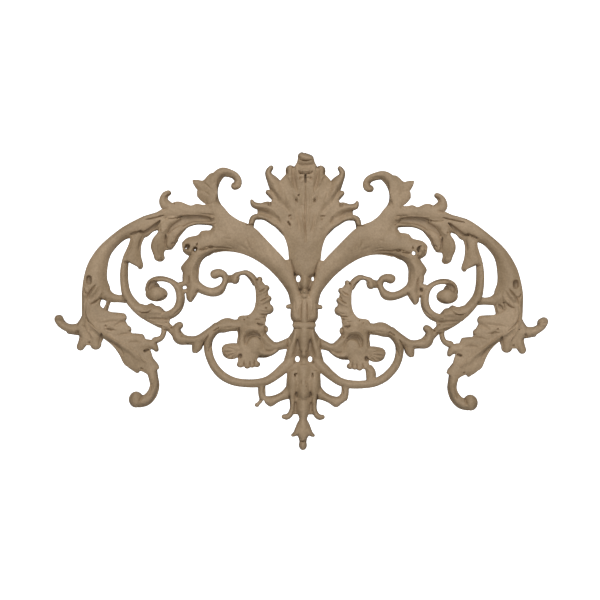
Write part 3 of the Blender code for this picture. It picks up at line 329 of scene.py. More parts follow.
def outerStem():
    thin = heights["thin"]
    strip = scroll([(84.4, 51.9, 1.5, 5.2), (90.2, 50.2, 1.3, 5.4), (97, 48.2, 1.2, 5.6)])
    second = blade([(84.6, 49.2, 83.4, 45.6, 5.6), (91, 49.6, 89.2, 43.8, 5.6), (97, 49.2, 94.6, 40.4, 6),
        (102.4, 46.6, 100.6, 38.4, 6.2)], 2, (0.7, 0.7))
    arc = blade([(98, 48.9, 95.5, 40.2, 6.2), (105.4, 45, 102.6, 37.4, 6.6),
        (111.4, 41.2, 108.8, 35.2, 6.6), (119.4, 34.6, 114.4, 29.8, 6.6), (125.2, 28.4, 117.3, 25, 6.6),
        (129.9, 20.4, 118.7, 18.6, 6.6), (132.3, 12, 118.8, 11.6, 6.6), (133.2, 4, 117, 5, 6.4),
        (133.2, -3, 121, 0.2, 6.2)], 2, (0.66, 0.3), 0.4)
    shelf = level([(88.4, 46.4, 88, 41.8), (93, 44.4, 91.6, 40.4), (99, 41.6, 95.6, 37.2),
        (106, 39, 104.8, 35.8)], thin)
    husk = blade([(95.6, 38.8, 104.4, 37.6, 5.2), (98.2, 33.4, 105.2, 33.6, 5.8),
        (98.8, 28.6, 107.2, 28.6, 6), (98.4, 24.6, 108.6, 24.6, 5.8), (97.4, 21.2, 104.8, 21.6, 5.2),
        (97.3, 19.2, 100.4, 19.4, 4.6), (98.5, 17.8, 99.5, 17.9, 3.8)], 2, (0.36, 0.66), 0.68)
    branch = blade([(105.8, 28, 107.6, 28, 5.2), (106, 23, 109.4, 23, 5.6), (106.3, 16, 110.5, 16, 5.8),
        (105.9, 9, 110.3, 9, 5.8), (104.4, 3.6, 109.2, 2.4, 5.8), (101.2, -0.8, 106.2, -3, 5.8),
        (97, -4.5, 101.8, -8, 5.8), (92, -4.4, 96.8, -12, 5.6)], 2, (0.34, 0.64), 0.66)
    bridge = blade([(108.4, 2.6, 106.8, -2.6, thin), (111, 1.9, 111, -2.1, thin),
        (115.2, 3.2, 116, -2, thin + 0.6), (118.6, 7.4, 122, -0.4, thin + 1.6)])
    tie = scroll([(117.3, -0.6, 1.2, thin), (118.3, -4, 1, thin), (119.6, -7.4, 1.4, thin)])
    return [strip, second, arc, shelf, husk, branch, bridge, tie]


def terminalLeaf():
    vein = heights["vein"]
    body = blade([(121.4, 1.4, 133.2, -2, 6.2), (122.8, -4.4, 133.1, -8.6, 6.4),
        (117.6, -7.8, 132.4, -15, 6.4), (112, -9.4, 127.2, -20.4, 6.2), (107, -14.4, 120.6, -23.6, 6),
        (103.6, -20.8, 114.6, -28.2, 5.8), (97, -22.2, 110.6, -33.4, 5.6), (94, -27, 107.4, -39.4, 5.4),
        (91.4, -33.6, 103.4, -41.4, 5.4), (90.4, -36.8, 99.4, -42.8, 5.4), (88.2, -38.9, 96.2, -43.6, 5.4),
        (86.8, -41.4, 92.6, -45.8, 5.2)], 2.2, 0.74)
    midrib = scroll([(129.5, -2, 1.6, vein), (129.4, -10, 1.7, vein), (124.6, -18.4, 1.6, vein),
        (115, -24.6, 1.4, vein), (106.4, -29.4, 1.8, vein - 0.3), (100, -34.6, 2.6, 6.4),
        (92, -41, 2.6, 5.6)])
    lobes = [
        scroll([(121, -10.8, 2.4, 5), (115.6, -11.6, 3.2, 6.2), (109.4, -11.4, 2.6, 5.6)]),
        scroll([(115, -18, 2, 4.8), (110.6, -19, 2.8, 5.8), (106.2, -18.6, 2.3, 5.3)]),
        scroll([(108, -24, 1.8, 4.8), (103, -23.8, 2.8, 5.8), (98, -23.2, 2, 5.2)]),
        scroll([(101, -27.4, 2.4, 5.6), (93.5, -27.2, 2.7, 5.6), (90, -28.4, 2.2, 5.2),
                (88.6, -30.4, 1.2, 4.4)]),
        scroll([(97.5, -35.2, 2.4, 6), (93.4, -36.2, 2.2, 5.8), (89.4, -40.6, 2.2, 5.4)]),
    ]
    heel = scroll([(105.4, -35.2, 4, 5.4), (102.2, -39.8, 3, 5), (99.9, -43.4, 1.1, 4)], 2, 0.6)
    fold = scroll([(121.4, 4.4, 1.6, 6.4), (124.8, -0.4, 1.4, 6.6), (128.2, -4.6, 1.2, 6.2)],
        curve=bladeForm["keel"])
    rim = scroll([(131.6, 6, 1.5, 6.6), (131.9, -2, 1.2, 6.4), (131.6, -10, 1.4, 6.4),
        (134.4, -17, 2.4, 6)])
    sideCurl = scroll([(132.4, -17.8, 3.6, 5.8), (137.6, -18.6, 2.9, 5.6), (142.6, -17.5, 2.2, 5.4),
        (146, -15, 2.3, 5.8), (147.2, -12.7, 2.4, 6.6)], 2, (0.32, 0.62), 0.6)
    spur = scroll([(136, -19.4, 2.8, 4.6), (141.2, -20.2, 1.2, 4)])
    lowLobes = [
        scroll([(127.6, -15, 2, 5), (126, -22, 3.2, 5.6), (125, -27.6, 3.1, 5)]),
        scroll([(132.6, -17.5, 2.8, 5.4), (132, -24, 2.8, 5.2), (134.2, -29.2, 2.1, 4.8)]),
        blade([(121, -18, 134, -18, 4.6), (120.8, -24, 134.2, -24, 4.4), (122.8, -28.2, 133.2, -28, 4)],
              2, 0.8),
    ]
    curl = scroll([(91.6, -41.5, 3.2, 5.6), (90.2, -47, 2.6, 5.8), (89.4, -52, 2.6, 5.8),
        (91, -57.2, 2.9, 6), (94.6, -60.9, 3.2, 6.2), (98.4, -61.4, 3.7, 6.6)], 2, (0.56, 0.22), 0.52)
    eye = boss(100.4, -60.5, 4.1, 4.6, heights["boss"] - 0.8)
    return [body, midrib, heel, fold, rim, sideCurl, spur, curl, eye] + lobes + lowLobes


def lowerLeaf():
    head = blade([(45, 46, 50, 29.4, 6.2), (54.9, 43.4, 54.4, 28.4, 6.4), (57, 41.4, 56.4, 27.2, 6.5),
        (59.6, 41.3, 58.4, 26.2, 6.6), (62.4, 40.7, 61.2, 26.2, 6.6), (64.4, 38.4, 63.6, 26.4, 6.6),
        (70.6, 36.8, 69.8, 26.4, 6.4), (73.7, 33.8, 73, 28.6, 5.6)])
    stem = blade([(57, 27.4, 68, 31, 6), (61.4, 24, 69.4, 25.6, 6.6), (63.2, 20.2, 72.6, 21.4, 6.6),
        (63.6, 17.4, 74.2, 18.8, 6.4), (63.8, 14.6, 72.8, 15.4, 6.4), (63.7, 11.8, 72.4, 12, 6.4),
        (62.6, 8.4, 70.8, 7.4, 6), (64.6, 3.4, 70.9, 3, 5.6), (66.6, 0.2, 70.4, 0, 5),
        (67.8, -1.5, 69, -1.5, 4.2)])
    vein = scroll([(58, 29.2, 1.2, 6.8), (64.5, 24.4, 1.6, heights["vein"]),
        (67.6, 17, 1.7, heights["vein"]), (67.3, 9, 1.5, 6.8), (68.6, 1, 1, 5.4)], curve=bladeForm["keel"])
    ear = scroll([(70.4, 19, 1.8, 5.6), (71.6, 14, 1.6, 5.4), (71.8, 9.8, 1.5, 5), (74.6, 8.6, 1.6, 4.6)])
    link = scroll([(69.8, 5.2, 1.1, 4), (73.4, 4.6, 1, 4)])
    volute = scroll([(64.6, 8, 2.8, 5.8), (60, 5.4, 2.4, 5.6), (55, 4.4, 2.5, 5.6), (51, 5.7, 2.6, 5.6),
        (48.6, 8.8, 1.7, 5.6), (47.5, 12, 1.6, 5.6), (48.6, 15, 1.9, 5.8), (51.4, 16, 2.3, 6.2),
        (53.9, 15.2, 2.6, 6.8)])
    neck = scroll([(48, 12.4, 2.4, 4.6), (44.8, 12.4, 2.1, 4.4), (41.6, 13, 2.4, 5.4)])
    return [head, stem, vein, ear, link, volute, neck]


def cScroll():
    ring = scroll([(84.4, -10.4, 2.4, 6), (79.6, -8.9, 2.4, 6.2), (76, -5.6, 2.4, 6.2),
        (74.4, -1, 2.35, 6.2), (74.6, 3.2, 2.3, 6.2), (76, 7, 2, 6), (79, 10, 1.4, 5.8),
        (82.4, 11.6, 1.3, 5.8), (86.2, 12.2, 1.4, 5.8), (90, 11.6, 1.5, 5.6), (92.9, 9.2, 1.8, 5.4),
        (93.6, 5.6, 2, 5.4)], 2, (0.32, 0.62), 0.6)
    floor = boss(90.6, 6.6, 3.6, 3.6, heights["hollow"])
    eye = boss(88.8, 3, 6.4, 4.3, heights["boss"])
    heel = blade([(98.6, -3, 102.8, -7.2, 5.6), (95, -3.9, 99.4, -9.8, 5.6), (91.8, -2.7, 96.4, -12, 5.6),
        (89.4, -4.2, 93.6, -13.8, 5.5), (87, -4.5, 91.2, -15, 5.4), (85.2, -6, 88.4, -16.4, 5.2),
        (83.4, -7.8, 86.4, -17.2, 5), (80.4, -10.6, 82, -17.4, 4.6)])
    husk = scroll([(96.6, -7.8, 2.2, 6.6), (91.6, -7.2, 3, 7.2), (87, -7.6, 2.2, 6.6)], roundStart=True)
    strut = scroll([(84.2, -16.5, 1.5, 4.6), (84.3, -20.4, 1.3, 4.4), (86, -23.6, 1.4, 4.6),
        (89.4, -24.9, 1.8, 5)])
    return [ring, floor, eye, heel, husk, strut]


def lowerScroll():
    ribbon = blade([(37, -11, 37, -18, 5.8), (41.6, -12.1, 41, -18.6, 5.8), (45, -11.2, 44.4, -18.8, 5.8),
        (48.8, -11.7, 47.6, -19.6, 5.8), (54, -15, 51.6, -20.2, 5.8), (59, -19.2, 54.8, -24.4, 5.8),
        (62.4, -22, 55.4, -28.6, 5.4)])
    ring = scroll([(50, -15.8, 1.8, 6.6), (55, -19.4, 2, 6.8), (57.6, -25, 2.1, 6.6), (57.4, -30.4, 2.2, 6),
        (56.2, -35.2, 2.1, 5.8), (53.4, -40.6, 2.2, 5.8), (48.7, -45.6, 2.3, 5.8), (42.2, -48.9, 2.2, 5.8),
        (35, -50, 2.15, 5.8), (28, -49.9, 2.3, 5.8), (22, -48.4, 2.3, 5.8), (16.8, -45, 2.5, 5.8),
        (12.2, -41, 2.9, 5.8), (8.4, -37.4, 3, 5.6)], edge=0.58)
    branch = scroll([(52, -15.4, 2, 6.4), (57.6, -20.2, 2.3, 6.4), (63.8, -24.2, 2.4, 6.2),
        (70, -24.6, 2.5, 6), (74.6, -23.5, 3.4, 6.2), (76.6, -19.8, 2.7, 6), (76.4, -17, 2.2, 6),
        (74.8, -15.7, 2, 6.2)])
    leaf = blade([(58.6, -20.4, 67.6, -24.4, 5.8), (60.4, -26, 67, -26.6, 5.6),
        (61.6, -29.8, 67, -29.6, 5.2), (64.4, -32.2, 66.8, -31.8, 4.6)])
    tie = scroll([(77.2, -21, 2, 5), (80, -18.2, 2, 4.8), (83, -15.6, 2.2, 4.8)])
    linkLeaf = blade([(9.4, -50.4, 7.4, -59, 4.8), (12.6, -54.6, 10.8, -59.4, 5.2),
        (17, -57.1, 15, -61, 5.4), (21.4, -57.9, 19.6, -63.8, 5.2), (24.4, -57.2, 22.8, -61.6, 5)])
    strut = scroll([(24.7, -58.4, 1.7, 4.6), (24.9, -56.6, 2, 4.8), (25.1, -52.8, 2, 4.8),
        (25.2, -49.6, 2.2, 5)], roundStart=True)
    return [ribbon, ring, branch, leaf, tie, linkLeaf, strut]


def grotesque():
    curl = scroll([(29, 9.6, 2, 6.2), (31.6, 13.6, 1.9, 6.2), (35, 16.2, 1.5, 6), (38.6, 15.9, 1, 5.6),
        (41.2, 14.4, 1.9, 6), (41.8, 12, 2.4, 7.2)])
    column = blade([(28.6, 11.6, 32, 12.6, 6), (26.2, 11.6, 30.4, 9.6, 6), (22.8, 7.4, 29.2, 6, 6.2),
        (21.7, 2.8, 29, 2, 6.2), (20.7, -1.6, 29, -1, 6.2), (21, -6, 30.2, -5.8, 6.4),
        (22.6, -9.4, 33.4, -9.2, 6.6), (23.5, -13.2, 39.2, -10.2, 6.4), (23.4, -17.6, 39.8, -16, 6),
        (24.4, -21, 39.6, -21, heights["hollow"]), (25, -31, 39, -31, heights["hollow"])], 2.2, 0.78)
    scales = [scroll(ends, roundStart=True) for ends in (
        [(27, 12.4, 1.5, 6.6), (28, 8.6, 1.6, 6.6)], [(22.9, 7.2, 1.7, 6.8), (26.9, 3.9, 2, 7)],
        [(21.7, 0.9, 1.8, 6.8), (26.4, -1.8, 2.1, 7)], [(21.5, -5.4, 2.9, 6.8), (26.8, -6.4, 2.5, 7)],
        [(24.6, -12, 1.6, 6), (30.4, -11.6, 2.2, 7)], [(24, -17.6, 2.3, 6), (28, -17, 2.2, 7)])]
    hood = scroll([(25, -22, 1.7, 6.4), (27.2, -18.6, 2.2, 7.2), (31.2, -16.9, 2.5, 7.6),
        (35.4, -18.8, 2.5, 7.2), (37.4, -23.4, 2.4, 6.6), (37.4, -28, 2.6, 6.2)], 2, (0.38, 0.72))
    cheek = boss(35.6, -28.6, 3, 3.2, 5.8, 0.8)
    dome = boss(31.6, -13.4, 5.4, 3.6, 7.4)
    knob = boss(29.8, -27, 4.5, 4.9, 6.9, 0.82)
    jaw = blade([(24.6, -29, 39.6, -29.4, 6), (26.6, -33, 39.6, -33.6, 6), (28.2, -35.6, 39.2, -36, 5.6),
        (27.6, -37.4, 39.6, -37.6, 5.4), (26.7, -38.6, 39.9, -39, 5), (27.6, -39.7, 39, -40, 4.6)], 2.2,
        0.74)
    toes = [boss(x, z, halfX, halfZ, crest) for x, z, halfX, halfZ, crest in (
        (28.2, -38.6, 1.9, 1.6, 5.6), (33.9, -39.4, 1.7, 1.7, 5.8), (38, -38.9, 2, 1.6, 5.6),
        (31, -39, 1.6, 1.5, 5.6))]
    shell = [scroll([(38.2, -28.9, 2.3, 5.6), (42.6, -28.9, 2.7, 6.2), (45.8, -30, 3.4, 6)]),
             boss(43.6, -31.4, 5.2, 4.2, 6.2)]
    sweep = blade([(27, -22.4, 28, -34.4, 5.2), (22.6, -22.2, 22.4, -34.3, 5.4),
        (19.4, -24.7, 18.4, -32, 5.6), (15.6, -25.4, 15, -29.9, 5.6), (12, -23.8, 11.4, -29.1, 5.4),
        (8.8, -22.2, 8.8, -28.8, 4.8)])
    lip = scroll([(27, -30.4, 1.2, 5.8), (24.4, -32, 1.5, 6.4), (20.6, -32.2, 1.4, 6.2),
        (16.6, -30, 1.1, 5.4)])
    brow = scroll([(25, -21, 2.2, 6.2), (21.6, -25.2, 2.4, 6.6), (17.4, -27.6, 2, 6.4),
        (12.6, -26, 1.8, 6)])
    return [curl, column, hood, cheek, dome, knob, jaw, sweep, lip, brow] + scales + toes + shell


def oneSided(side):
    # what only the left or only the right has
    if side < 0:
        return [
            scroll([(25, -58.8, 1.2, 3.8), (25.7, -60.7, 0.85, 3.6), (27.3, -62.6, 0.8, 3.4)]),
            boss(27.8, -63, 1.2, 1.1, 3.8),
        ]
    return [
        scroll([(39, -38.4, 1.9, 4.4), (40.5, -42.2, 2.8, 4.4), (40.6, -47, 2.6, 4.6)]),
        blade([(70.5, 10.4, 75.2, 10.4, 4), (70, 6, 75, 6, 3.6), (70, 3, 74.4, 3, 3.6)]),
        blade([(117.6, 1.6, 124, 1, 3.6), (117, -3, 124, -4, 3.4), (118.2, -8.6, 123, -8.6, 3.6)]),
        boss(146.2, -13.7, 2.9, 2.9, 6.4),
        scroll([(19, -60.6, 2.2, 4.8), (22.8, -59, 2.2, 4.8), (24.6, -56.4, 2, 4.8)]),
    ]


def movedRight(x, z):
    # where places of the half lie on the right side; x and z are arrays
    total = np.full(x.shape, 1e-9 * len(rightHalf["moves"]))      # never quite 0, far from all of them
    moveX, moveZ = np.zeros(x.shape), np.zeros(x.shape)
    for placeX, placeZ, dx, dz in rightHalf["moves"]:
        weight = np.exp(-((x - placeX) ** 2 + (z - placeZ) ** 2) / rightHalf["reach"] ** 2)
        total += weight
        moveX += weight * dx
        moveZ += weight * dz
    return x + moveX / total, z + moveZ / total


def readPlaces(piece):
    places = np.empty(len(piece.data.vertices) * 3)
    piece.data.vertices.foreach_get("co", places)
    return places.reshape(-1, 3) / mm


def writePlaces(piece, places):
    piece.data.vertices.foreach_set("co", (places * mm).ravel())
    piece.data.update()


def copiedSide(half, side):
    # a copy of the half for the left (-1) or the right (1)
    pickOnly(half)
    bpy.ops.object.duplicate()
    copy = bpy.context.object
    places = readPlaces(copy)
    if side < 0:
        places[:, 0] *= -1
    else:
        places[:, 0], places[:, 2] = movedRight(places[:, 0], places[:, 2])
    writePlaces(copy, places)
    bpy.ops.object.mode_set(mode="EDIT")
    bpy.ops.mesh.select_all(action="SELECT")
    bpy.ops.mesh.normals_make_consistent(inside=False)
    bpy.ops.object.mode_set(mode="OBJECT")
    return copy


def applyModifier(piece, kind, **values):
    modifier = piece.modifiers.new(kind.lower(), kind)
    for key, value in values.items():
        setattr(modifier, key, value)
    pickOnly(piece)
    bpy.ops.object.modifier_apply(modifier=modifier.name)


middle, beside = [], []
for makeThem in (fan, baluster, calyxAndDrop):
    onAxis, paired = makeThem()
    middle += onAxis
    beside += paired
for makeThem in (arm, upperLeaf, foldedHollow, outerStem, terminalLeaf, lowerLeaf, cScroll, lowerScroll,
                 grotesque):
    beside += makeThem()
half = laidTogether("half", beside)
leftHalf, rightCopy = copiedSide(half, -1), copiedSide(half, 1)
bpy.data.objects.remove(half, do_unlink=True)
leftPieces = copiedSide(laidTogether("leftPieces", oneSided(-1)), -1)
rightPieces = copiedSide(laidTogether("rightPieces", oneSided(1)), 1)
for name in ("leftPieces", "rightPieces"):
    bpy.data.objects.remove(bpy.data.objects[name], do_unlink=True)
core = laidTogether("core", middle)
pickOnly(core, leftHalf, rightCopy, leftPieces, rightPieces)
bpy.ops.object.join()
applique = bpy.context.object
applique.name = "scrollCasting"
applique.data.name = "scrollCasting"
print("blades laid:", len(middle) + 2 * len(beside))

# all the blades under one skin
applyModifier(applique, "REMESH", mode="VOXEL", voxel_size=skin["voxel"] * mm)

drillBit = {"faces": 28, "length": 0.05}      # length in metres

# holes that go right through, as (x, z, half width, half height) on each side
drilled = {
    -1: [(3.8, -35.2, 1.6, 2.0), (3.8, 13.0, 1.5, 2.2), (71.9, 7.1, 1.4, 1.2), (120.8, -2.8, 1.8, 2.2),
         (71.4, 30.6, 0.75, 0.5), (66.0, 29.7, 0.8, 0.5)],
    1: [(3.8, -35.2, 1.5, 1.9), (5.0, 13.2, 1.0, 1.5), (65.3, 29.6, 1.4, 1.4)],
}


def drill(x, z, halfX, halfZ):
    bpy.ops.object.select_all(action="DESELECT")
    bpy.ops.mesh.primitive_cylinder_add(vertices=drillBit["faces"], radius=mm, depth=drillBit["length"],
                                        location=(x * mm, 0, z * mm), rotation=(math.pi / 2, 0, 0))
    bpy.ops.object.transform_apply(location=True, rotation=True, scale=True)
    bpy.ops.object.mode_set(mode="EDIT")
    bpy.ops.transform.resize(value=(halfX, 1, halfZ), center_override=(x * mm, 0, z * mm))
    bpy.ops.object.mode_set(mode="OBJECT")
    return bpy.context.object


drills = []
for side, holes in drilled.items():
    for x, z, halfX, halfZ in holes:
        atX, atZ = (-x, z) if side < 0 else (float(v[0]) for v in movedRight(np.array([x]), np.array([z])))
        drills.append(drill(atX, atZ, halfX, halfZ))
pickOnly(*drills)
bpy.ops.object.join()
allDrills = bpy.context.object
applyModifier(applique, "BOOLEAN", operation="DIFFERENCE", solver="MANIFOLD", object=allDrills)
bpy.data.objects.remove(allDrills, do_unlink=True)
applyModifier(applique, "SMOOTH", factor=skin["smoothShare"], iterations=skin["smoothPasses"])
print("skin:", len(applique.data.polygons), "faces")

# The carving, as rows of (half width, value, x, z, x, z, ...). "raise" lifts the face by the value,
# "cut" lowers it by the value, and "sink" takes it down to that height above the back.
fanMarks = {
    "raise": [
        (0.9, 0.9, 12.4, 74.9, 10.2, 73.6, 8.6, 70.4, 7.3, 67.2),
        (0.8, 0.8, 6.2, 81, 5.4, 78.2, 5, 74.6, 3.7, 71.6), (0.7, 0.6, 8.6, 79.6, 10.3, 80, 11, 78.4),
        (0.5, 0.8, 0.9, 74.1, 2.1, 74.2, 2.8, 73.4), (0.5, 0.6, 1.4, 71.6, 2.6, 70.9),
        (0.6, 0.6, 4.5, 58.6, 4.6, 61, 6, 62.4, 7, 61, 6.8, 59.4),
        (0.6, 0.4, 7.8, 44.6, 9.4, 43.2, 10.9, 44.6), (1.2, 0.5, 2.6, 68, 2.9, 61, 3.4, 55),
        (1.4, 0.5, 12.6, 66, 10.4, 60, 8.4, 56), (2.4, 0.6, 12.6, 56, 16.4, 63, 19.4, 70.6),
        (0.8, 0.8, 21, 57.2, 25, 57.6, 28.4, 58.2, 31.4, 60),
        (0.9, 0.6, 16.8, 43.6, 20, 46.2, 24, 48.8, 28.6, 49.6), (0.8, 0.8, 31.6, 46.4),
    ],
    "cut": [
        (1.9, 1.7, 8.2, 79, 7.4, 74, 6.2, 69, 5, 65), (1.4, 0.6, -4.6, 81.6, 0, 80.7, 4.6, 81.4),
        (0.55, 1, -3.6, 84.2, 0, 83.5, 3.6, 84.2), (0.5, 1.5, 0.8, 76, 2.6, 76.2),
        (0.6, 1.4, 3.4, 76.3, 4.2, 77.2), (0.6, 0.8, 2.1, 87.9, 2.4, 87.5),
        (0.65, 0.55, 0, 71, 0, 66, 0, 58, 0, 46, 0, 38), (0.75, 2, 5.7, 60.4, 5.3, 59.2),
        (2.7, 1.5, 21, 67, 18.4, 63, 14.6, 58.8, 11.6, 55.4, 9.6, 52.6),
        (2.7, 1.35, 15.4, 47.6, 20, 51.4, 25, 53.4, 30, 54.6), (1.1, 0.8, 15.8, 46.6, 16.4, 49.6),
        (0.9, 0.8, 28.8, 50, 29.4, 48.4), (1, 0.6, 15.6, 72.4, 15.8, 72), (0.55, 1, 3.3, 73.9, 3.5, 72.5),
        (0.55, 0.6, 2.2, 75.9, 3.4, 75.7), (1.3, 0.5, 8.6, 66, 7.2, 60, 5.8, 56),
        (0.8, 1.4, 8.6, 25, 7.2, 20, 6, 16, 5.7, 13), (0.6, 1.4, 31, 45.1, 35, 45.1),
    ],
    "sink": [
        (0.5, 4.2, 7.3, 80.4, 7.4, 79.8), (0.5, 3.8, 11.7, 77.4, 11.6, 76.2), (0.4, 5, 0, 75.2),
        (0.3, 5, 0, 75.2, 0, 70.4), (0.8, 3.4, 21.7, 58.4, 21.4, 57.2),
        (1.1, 4.7, 20.4, 50.4, 23, 51.4, 25.6, 52.2, 28, 52.4),
    ],
}
upperMarks = {
    "raise": [
        (1.4, 0.4, 32.4, 40, 33.2, 37, 33, 34, 32, 31), (1.7, 1, 42, 70), (1.5, 0.9, 86.8, 25.2),
        (0.9, 0.9, 74.1, 42.5, 76.7, 38.8, 78.5, 34.4, 79.6, 31.2),
        (0.6, 0.6, 62, 50.7, 69, 50.7, 76, 50.7), (1.1, 2, 55.2, 48.8, 56.2, 48.8),
        (0.5, 0.6, 61, 46.2, 65, 46.2), (1.2, 0.8, 83, 42, 85.5, 40), (0.9, 0.8, 103, 36, 104, 30, 107, 25),
        (0.8, 0.6, 88.6, 36, 88.8, 30, 87.6, 26),
    ],
    "cut": [
        (1.6, 0.4, 30, 37, 31, 33.6, 32.2, 30.4, 31, 28.4), (1.4, 0.35, 35.6, 37, 34.4, 34, 33.4, 31),
        (1.4, 0.35, 34, 30.2, 37, 31.6, 40.4, 33.4), (0.8, 0.4, 44.4, 36.2, 46, 36.6, 48, 36),
        (0.9, 0.4, 43, 31.3, 45, 32.4, 47.4, 32.6),
        (0.7, 1.3, 63.2, 30, 60, 30.9, 56.9, 31.9, 53.5, 31.2, 50.4, 31.3, 46, 30.9, 41.6, 30.2),
        (1.1, 0.6, 41.5, 72.5, 43, 74.5, 47, 75.3, 50.5, 73.5, 52.5, 70, 53.5, 65),
        (0.8, 1.5, 40.5, 67, 42.5, 66.3, 44.8, 67.5), (0.7, 1, 54.5, 50.7, 58, 50.9, 62, 51.3),
        (0.45, 1.3, 72, 50, 76, 49.3, 79, 48.3, 83, 48.5), (0.6, 1.2, 81.5, 62.8, 83.5, 61.5, 83.7, 60),
        (0.5, 1.6, 78.5, 57.2), (0.9, 0.8, 82.5, 54.5, 85, 53.5), (0.5, 1.2, 78.2, 33.6, 79.8, 33),
        (0.7, 1.4, 86.5, 41.2), (0.6, 1.2, 54.3, 45.5), (0.6, 1.2, 54.5, 43),
        (1.2, 1.4, 97.5, 37.5, 99, 33, 99.4, 30), (0.8, 1.4, 98.5, 18.8, 98.5, 18.2),
        (1.3, 1.8, 105.4, 21.2, 107.4, 21.8), (0.5, 1, 85.5, 23.4, 88, 23.2),
    ],
    "sink": [
        (1.25, 3.4, 57.6, 47.9, 61, 48.3, 66, 48.6, 70.6, 48),
        (0.5, 3, 58, 49, 64, 49.8, 71, 49.7, 77, 48.4),
        (1.1, 3, 70.6, 47.9, 75.4, 46, 79.4, 43, 82.2, 39.6), (0.7, 3.2, 78.6, 33.6),
        (0.5, 2.4, 83.5, 38.6, 83.5, 35, 83.6, 31.6), (1.4, 2.9, 129.3, 10, 129.3, 12),
        (0.3, 3.8, 84.3, 50.3, 88, 49.2, 91.5, 48.3, 95.5, 47.5),
        (1, 2.2, 87, 46.8, 90, 43.8, 93, 41.5, 96, 40, 98, 40), (0.8, 1.8, 98.5, 40.3),
        (0.6, 3.2, 99.6, 40.4, 101.6, 39.6, 104.6, 38.6),
    ],
}
outerMarks = {
    "raise": [
        (1.7, 1.4, 123.8, 6.8, 126.4, 3.6, 128.6, 0.2), (1.1, 0.6, 131.2, 5.2, 130.4, 4.4),
        (1.6, 0.6, 121.6, 3.4, 123.6, 0.6, 126.4, -1.4), (0.5, 0.5, 131.5, 2, 132, -6),
        (0.8, 0.9, 132, -10, 131, -16, 128.5, -22), (0.8, 0.8, 123, -19.5, 118, -22.5, 112, -26, 108, -28),
        (0.8, 0.7, 95, -38, 99, -34), (0.7, 0.9, 127, -23, 128.5, -20.5), (0.5, 0.5, 137, -18.8),
        (1.2, 0.8, 147.5, -11.5), (0.7, 0.6, 89.8, -46, 89.5, -54, 91.2, -58.5),
        (0.7, 0.6, 78, -6.5, 82, -9, 86, -10), (0.7, 0.8, 81, -17, 86, -15.5, 92, -14.5),
    ],
    "cut": [
        (0.9, 1.8, 125, 8.2, 127.6, 5, 129.8, 1.8, 130.4, -0.8),
        (0.8, 1.8, 128.2, -3.5, 125.4, -2.2, 122.6, 0.2),
        (0.6, 1.2, 132.3, 6.1, 131.8, 4, 130.7, 2.9, 129.6, 3.4), (0.8, 1.2, 117.2, -2, 118.2, -6.5),
        (0.8, 1.3, 131.5, -7, 130.5, -12, 127, -16, 124, -19), (1.7, 1.2, 106, -13.8, 110, -14.6, 114, -17),
        (0.8, 0.8, 112, -19.4, 116.5, -18.6, 120, -18.8), (1.6, 0.8, 97, -26.8, 101, -26.2, 106, -26.5),
        (1.6, 0.8, 112, -13.6, 118, -14.4, 123, -15), (1.2, 0.9, 103, -21.2, 108, -21.4, 112, -22.5),
        (0.9, 1.2, 108.5, -10), (0.9, 1.2, 106.8, -14.5), (0.9, 1.2, 104.5, -19.5), (0.9, 1.2, 95.5, -23),
        (1.1, 1.3, 120.5, -23.5, 113, -27.4, 109.2, -31, 108.2, -34), (0.6, 1, 136.4, -21.4, 133.8, -23.2),
        (0.8, 1.2, 140, -15.8, 144, -14), (0.9, 0.7, 145, -13.7, 148, -13.7),
        (1, 1.2, 88.5, -44, 87.5, -48, 87.3, -52, 88.5, -57, 90.5, -60.5, 94, -63.3, 99, -64),
        (0.5, 0.8, 91, -51, 92.3, -58), (0.9, 1.5, 96.9, -58.2, 97.2, -59.6, 97.8, -61),
        (0.45, 1, 78, 11, 82, 12.3, 86, 12.9, 90, 12, 93, 10),
        (0.7, 0.9, 72.5, 2, 72.5, -3, 74.2, -5.6, 79, -10),
        (0.5, 1.8, 91, -5.8, 93.5, -8, 97, -8.3, 100, -7.5), (1.2, 1.4, 81, -12.4, 87, -12, 94, -12),
        (0.7, 1.2, 81, -18.5, 84, -18.5),
    ],
    "sink": [
        (0.5, 2.8, 122, -0.2), (0.8, 2.6, 107.5, -1.5), (0.5, 2.8, 109.5, 1.5),
        (0.5, 4.6, 115.4, -18.9, 117.4, -18.3), (0.5, 4.9, 118.8, -16.5),
        (0.6, 2.4, 93.6, -30.6, 95.4, -31.3), (0.6, 3.7, 97, -42), (0.5, 2.4, 88.5, -26.5),
        (0.5, 2.4, 88, -31), (0.8, 3, 121.4, -21, 122, -25, 122.6, -28), (0.6, 2.8, 128.8, -26.6),
        (0.6, 3, 135.6, -20, 136.4, -21.4), (1.3, 2.4, 93.2, 5.6, 92.5, 8, 90.6, 9.6, 88.4, 10),
        (0.7, 1.8, 89.6, 8.2, 88.6, 8.6), (0.6, 3.2, 83, 2, 84, 0.4, 85, 0, 89, -1.4),
        (0.45, 3.8, 82.5, -14),
    ],
}
